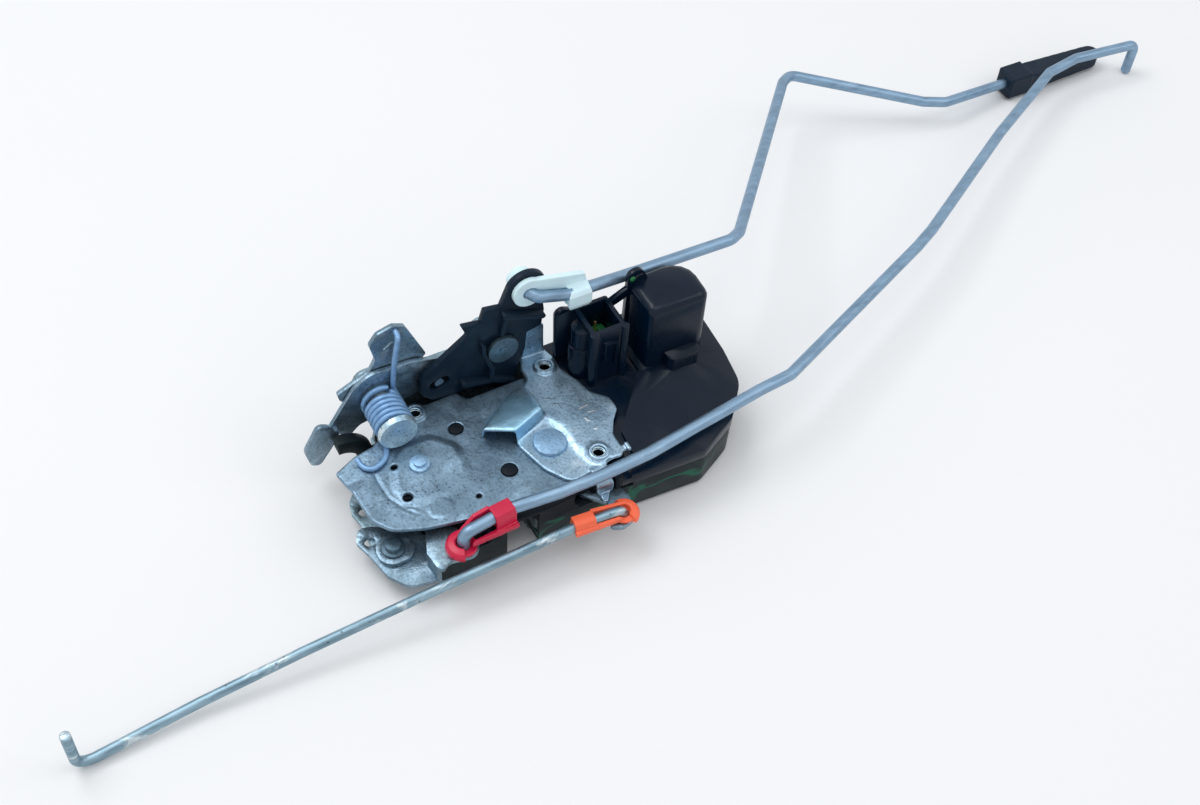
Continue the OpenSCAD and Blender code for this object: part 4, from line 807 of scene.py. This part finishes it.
# ---------------------------------------------------------------- carried-over CAD nodes
# Finish and width of the rolled edges in millimetres
FINISH = {
    "frame_plate": (STEEL_DARK, 0.25), "fork_pivot": (RIVET, 0.35), "pawl_pivot": (RIVET, 0.2),
    "lever_post": (POST, 0.2), "release_stud": (STUD, 0.3), "inside_lever_pin": (STEEL, 0.15),
    "lock_link_lever": (LEVER, 0.25), "release_lever": (LEVER, 0.25),
    "outside_lever": (LEVER, 0.25), "outside_link_plate": (LEVER, 0.25),
    "inside_lever": (LEVER, 0.25), "lock_motor": (STEEL, 0.2), "fork_bolt": (BOLT, 0.3),
    "pawl": (BOLT, 0.3), "fork_spring": (COIL, 0.0), "pawl_spring": (COIL, 0.0),
    "lock_pivot": (POST, 0.25), "latch_case": (TRAY, 0.3), "case_lid": (CASE, 0.3),
    "lock_lever": (BLACK, 0.3), "gear_post": (BLACK, 0.1), "actuator_case": (NAVY, 0.4),
    "actuator_cover": (TRAY, 0.4), "striker_bumper": (RUBBER, 0.3),
    "connector_seal": (GREEN, 0.25), "connector_terminals": (BRASS, 0.0),
    "motor_pinion": (BRASS, 0.0), "drive_gear": (WHITE, 0.0),
}
for node, (mat, width) in FINISH.items():
    paint(NODES[node], mat)
    if width:
        bevelled(NODES[node], width)
    smooth(NODES[node].data, EDGE_ANGLE)


def relaxed(co, edges, weight, passes):
    """Laplacian smoothing of the vertices, as strong as each vertex's weight."""
    a, b = edges[:, 0], edges[:, 1]
    count = np.bincount(a, minlength=len(co)) + np.bincount(b, minlength=len(co))
    for _ in range(passes):
        total = np.stack([
            np.bincount(a, co[b, k], len(co)) + np.bincount(b, co[a, k], len(co)) for k in range(3)
        ], axis=1)
        co = co + (total / np.maximum(count, 1)[:, None] - co) * (weight * SMOOTHING)[:, None]
    return co


BRACKET_VOXEL, BRACKET_PASSES = 0.3, 6
TOP_PASSES, HOOD_PASSES, STEP_PASSES = 8, 20, 70


def pressed_bracket():
    """The bracket with the soft forms of thick pressed sheet, softest at its hood and step."""
    obj = new_object("pressed_bracket", NODES["reinforcement_bracket"].data.copy())
    remeshed(obj, BRACKET_VOXEL, BRACKET_PASSES)
    apply_modifiers(obj)
    mesh = obj.data
    co = vertices(mesh)
    edges = np.empty(len(mesh.edges) * 2, dtype=np.int64)
    mesh.edges.foreach_get("vertices", edges)
    edges = edges.reshape(-1, 2)
    top = ease(co[:, 2], 22, 24)
    co = relaxed(co, edges, top, TOP_PASSES)
    x, y, z = co.T
    hood = ease(np.hypot((x - 14) / 14.5, (y - 7.5) / 12.5), 1.12, 0.92) * top
    # The stub beside the front collar keeps its form
    clear = ease(np.hypot(x - 47, y + 24), 2, 4)
    step = ease(np.abs((x - 29.6) * 0.94 + (y + 8) * 0.34), 7, 3.5) * top * ease(y, 6, 1) * clear
    co = relaxed(co, edges, hood, HOOD_PASSES)
    co = relaxed(co, edges, step, STEP_PASSES)
    set_vertices(mesh, co)
    paint(obj, BRACKET)
    return done(obj, "latch", ("reinforcement_bracket",))


pressed_bracket()
# Finish, voxel in millimetres and smoothing passes
MOULDED = {
    "red_clip": (RED, 0.2, 3), "orange_clip": (ORANGE, 0.2, 3),
    "white_clip": (WHITE, 0.22, 5), "lock_knob": (BLACK, 0.35, 5),
}
for node, (mat, voxel, passes) in MOULDED.items():
    paint(NODES[node], mat)
    remeshed(NODES[node], voxel, passes)

# Green dot on the cable ear, its axis along y
DOT_AT = Vector((72.8, 22.85, 60.4)) * MM
dot = lathe("ear_mark", 0, 0, [(1.15, 0), (1.15, 0.25), (0.9, 0.5)], GREEN, 24, False)
dot.data.transform(Matrix.Translation(DOT_AT) @ Matrix.Rotation(math.pi / 2, 4, "X"))
done(dot, "latch")


# ---------------------------------------------------------------- floor and light
FLOOR_HALF, FLOOR_Z = 6.0, -0.0006


def floor():
    mesh = bpy.data.meshes.new("floor")
    corners = [(-FLOOR_HALF, -FLOOR_HALF), (FLOOR_HALF, -FLOOR_HALF),
               (FLOOR_HALF, FLOOR_HALF), (-FLOOR_HALF, FLOOR_HALF)]
    mesh.from_pydata([(*c, FLOOR_Z) for c in corners], [], [(0, 1, 2, 3)])
    obj = new_object("floor", mesh)
    m = Nodes("pale_floor")
    m.set(Specular_IOR_Level=0.2)
    color = m.mix(m.noise(3, 2, 0.5), (0.9, 0.905, 0.91), (0.93, 0.93, 0.93))
    roughness = m.fit(m.noise(40, 2, 0.5), 0.3, 0.7, 0.7, 0.85)
    normal = m.bump(m.noise(400, 2, 0.5), 0.0001, 0.1)
    paint(obj, m.finish(color, roughness, normal))


floor()

SKY_COLOR = (0.95, 0.97, 1.0, 1.0)
LIGHT_LEVEL, SEEN_LEVEL = 0.6, 0.85
LAMP_AIM = Vector((0.05, 0, 0))


def sky():
    """World at a plain level; the camera, metal and glass see it paler."""
    world = bpy.data.worlds.new("studio")
    bpy.context.scene.world = world
    world.use_nodes = True
    tree = world.node_tree
    back = tree.nodes["Background"]
    back.inputs["Color"].default_value = SKY_COLOR
    path = tree.nodes.new("ShaderNodeLightPath")
    seen = path.outputs["Is Camera Ray"]
    for ray in ("Is Glossy Ray", "Is Transmission Ray"):
        either = tree.nodes.new("ShaderNodeMath")
        either.operation = "MAXIMUM"
        tree.links.new(seen, either.inputs[0])
        tree.links.new(path.outputs[ray], either.inputs[1])
        seen = either.outputs["Value"]
    level = tree.nodes.new("ShaderNodeMapRange")
    level.inputs["To Min"].default_value = LIGHT_LEVEL
    level.inputs["To Max"].default_value = SEEN_LEVEL
    tree.links.new(seen, level.inputs["Value"])
    tree.links.new(level.outputs["Result"], back.inputs["Strength"])


def softbox(name, place, size, power, color):
    """Rectangular lamp that points at LAMP_AIM."""
    light = bpy.data.lights.new(name, "AREA")
    light.shape = "RECTANGLE"
    light.size, light.size_y = size
    light.energy = power
    light.color = color
    obj = bpy.data.objects.new(name, light)
    bpy.context.scene.collection.objects.link(obj)
    obj.location = place
    obj.rotation_euler = (LAMP_AIM - Vector(place)).to_track_quat("-Z", "Y").to_euler()


sky()
softbox("key", (-0.45, 0.55, 1.35), (0.9, 0.7), 7.5, (0.96, 0.98, 1.0))
softbox("top", (0.05, -0.25, 1.6), (1.2, 0.9), 4.2, (0.97, 0.99, 1.0))
softbox("fill", (0.95, -0.5, 1.0), (0.7, 0.7), 2, (0.97, 0.99, 1.0))

bpy.context.scene.view_settings.view_transform = "Standard"
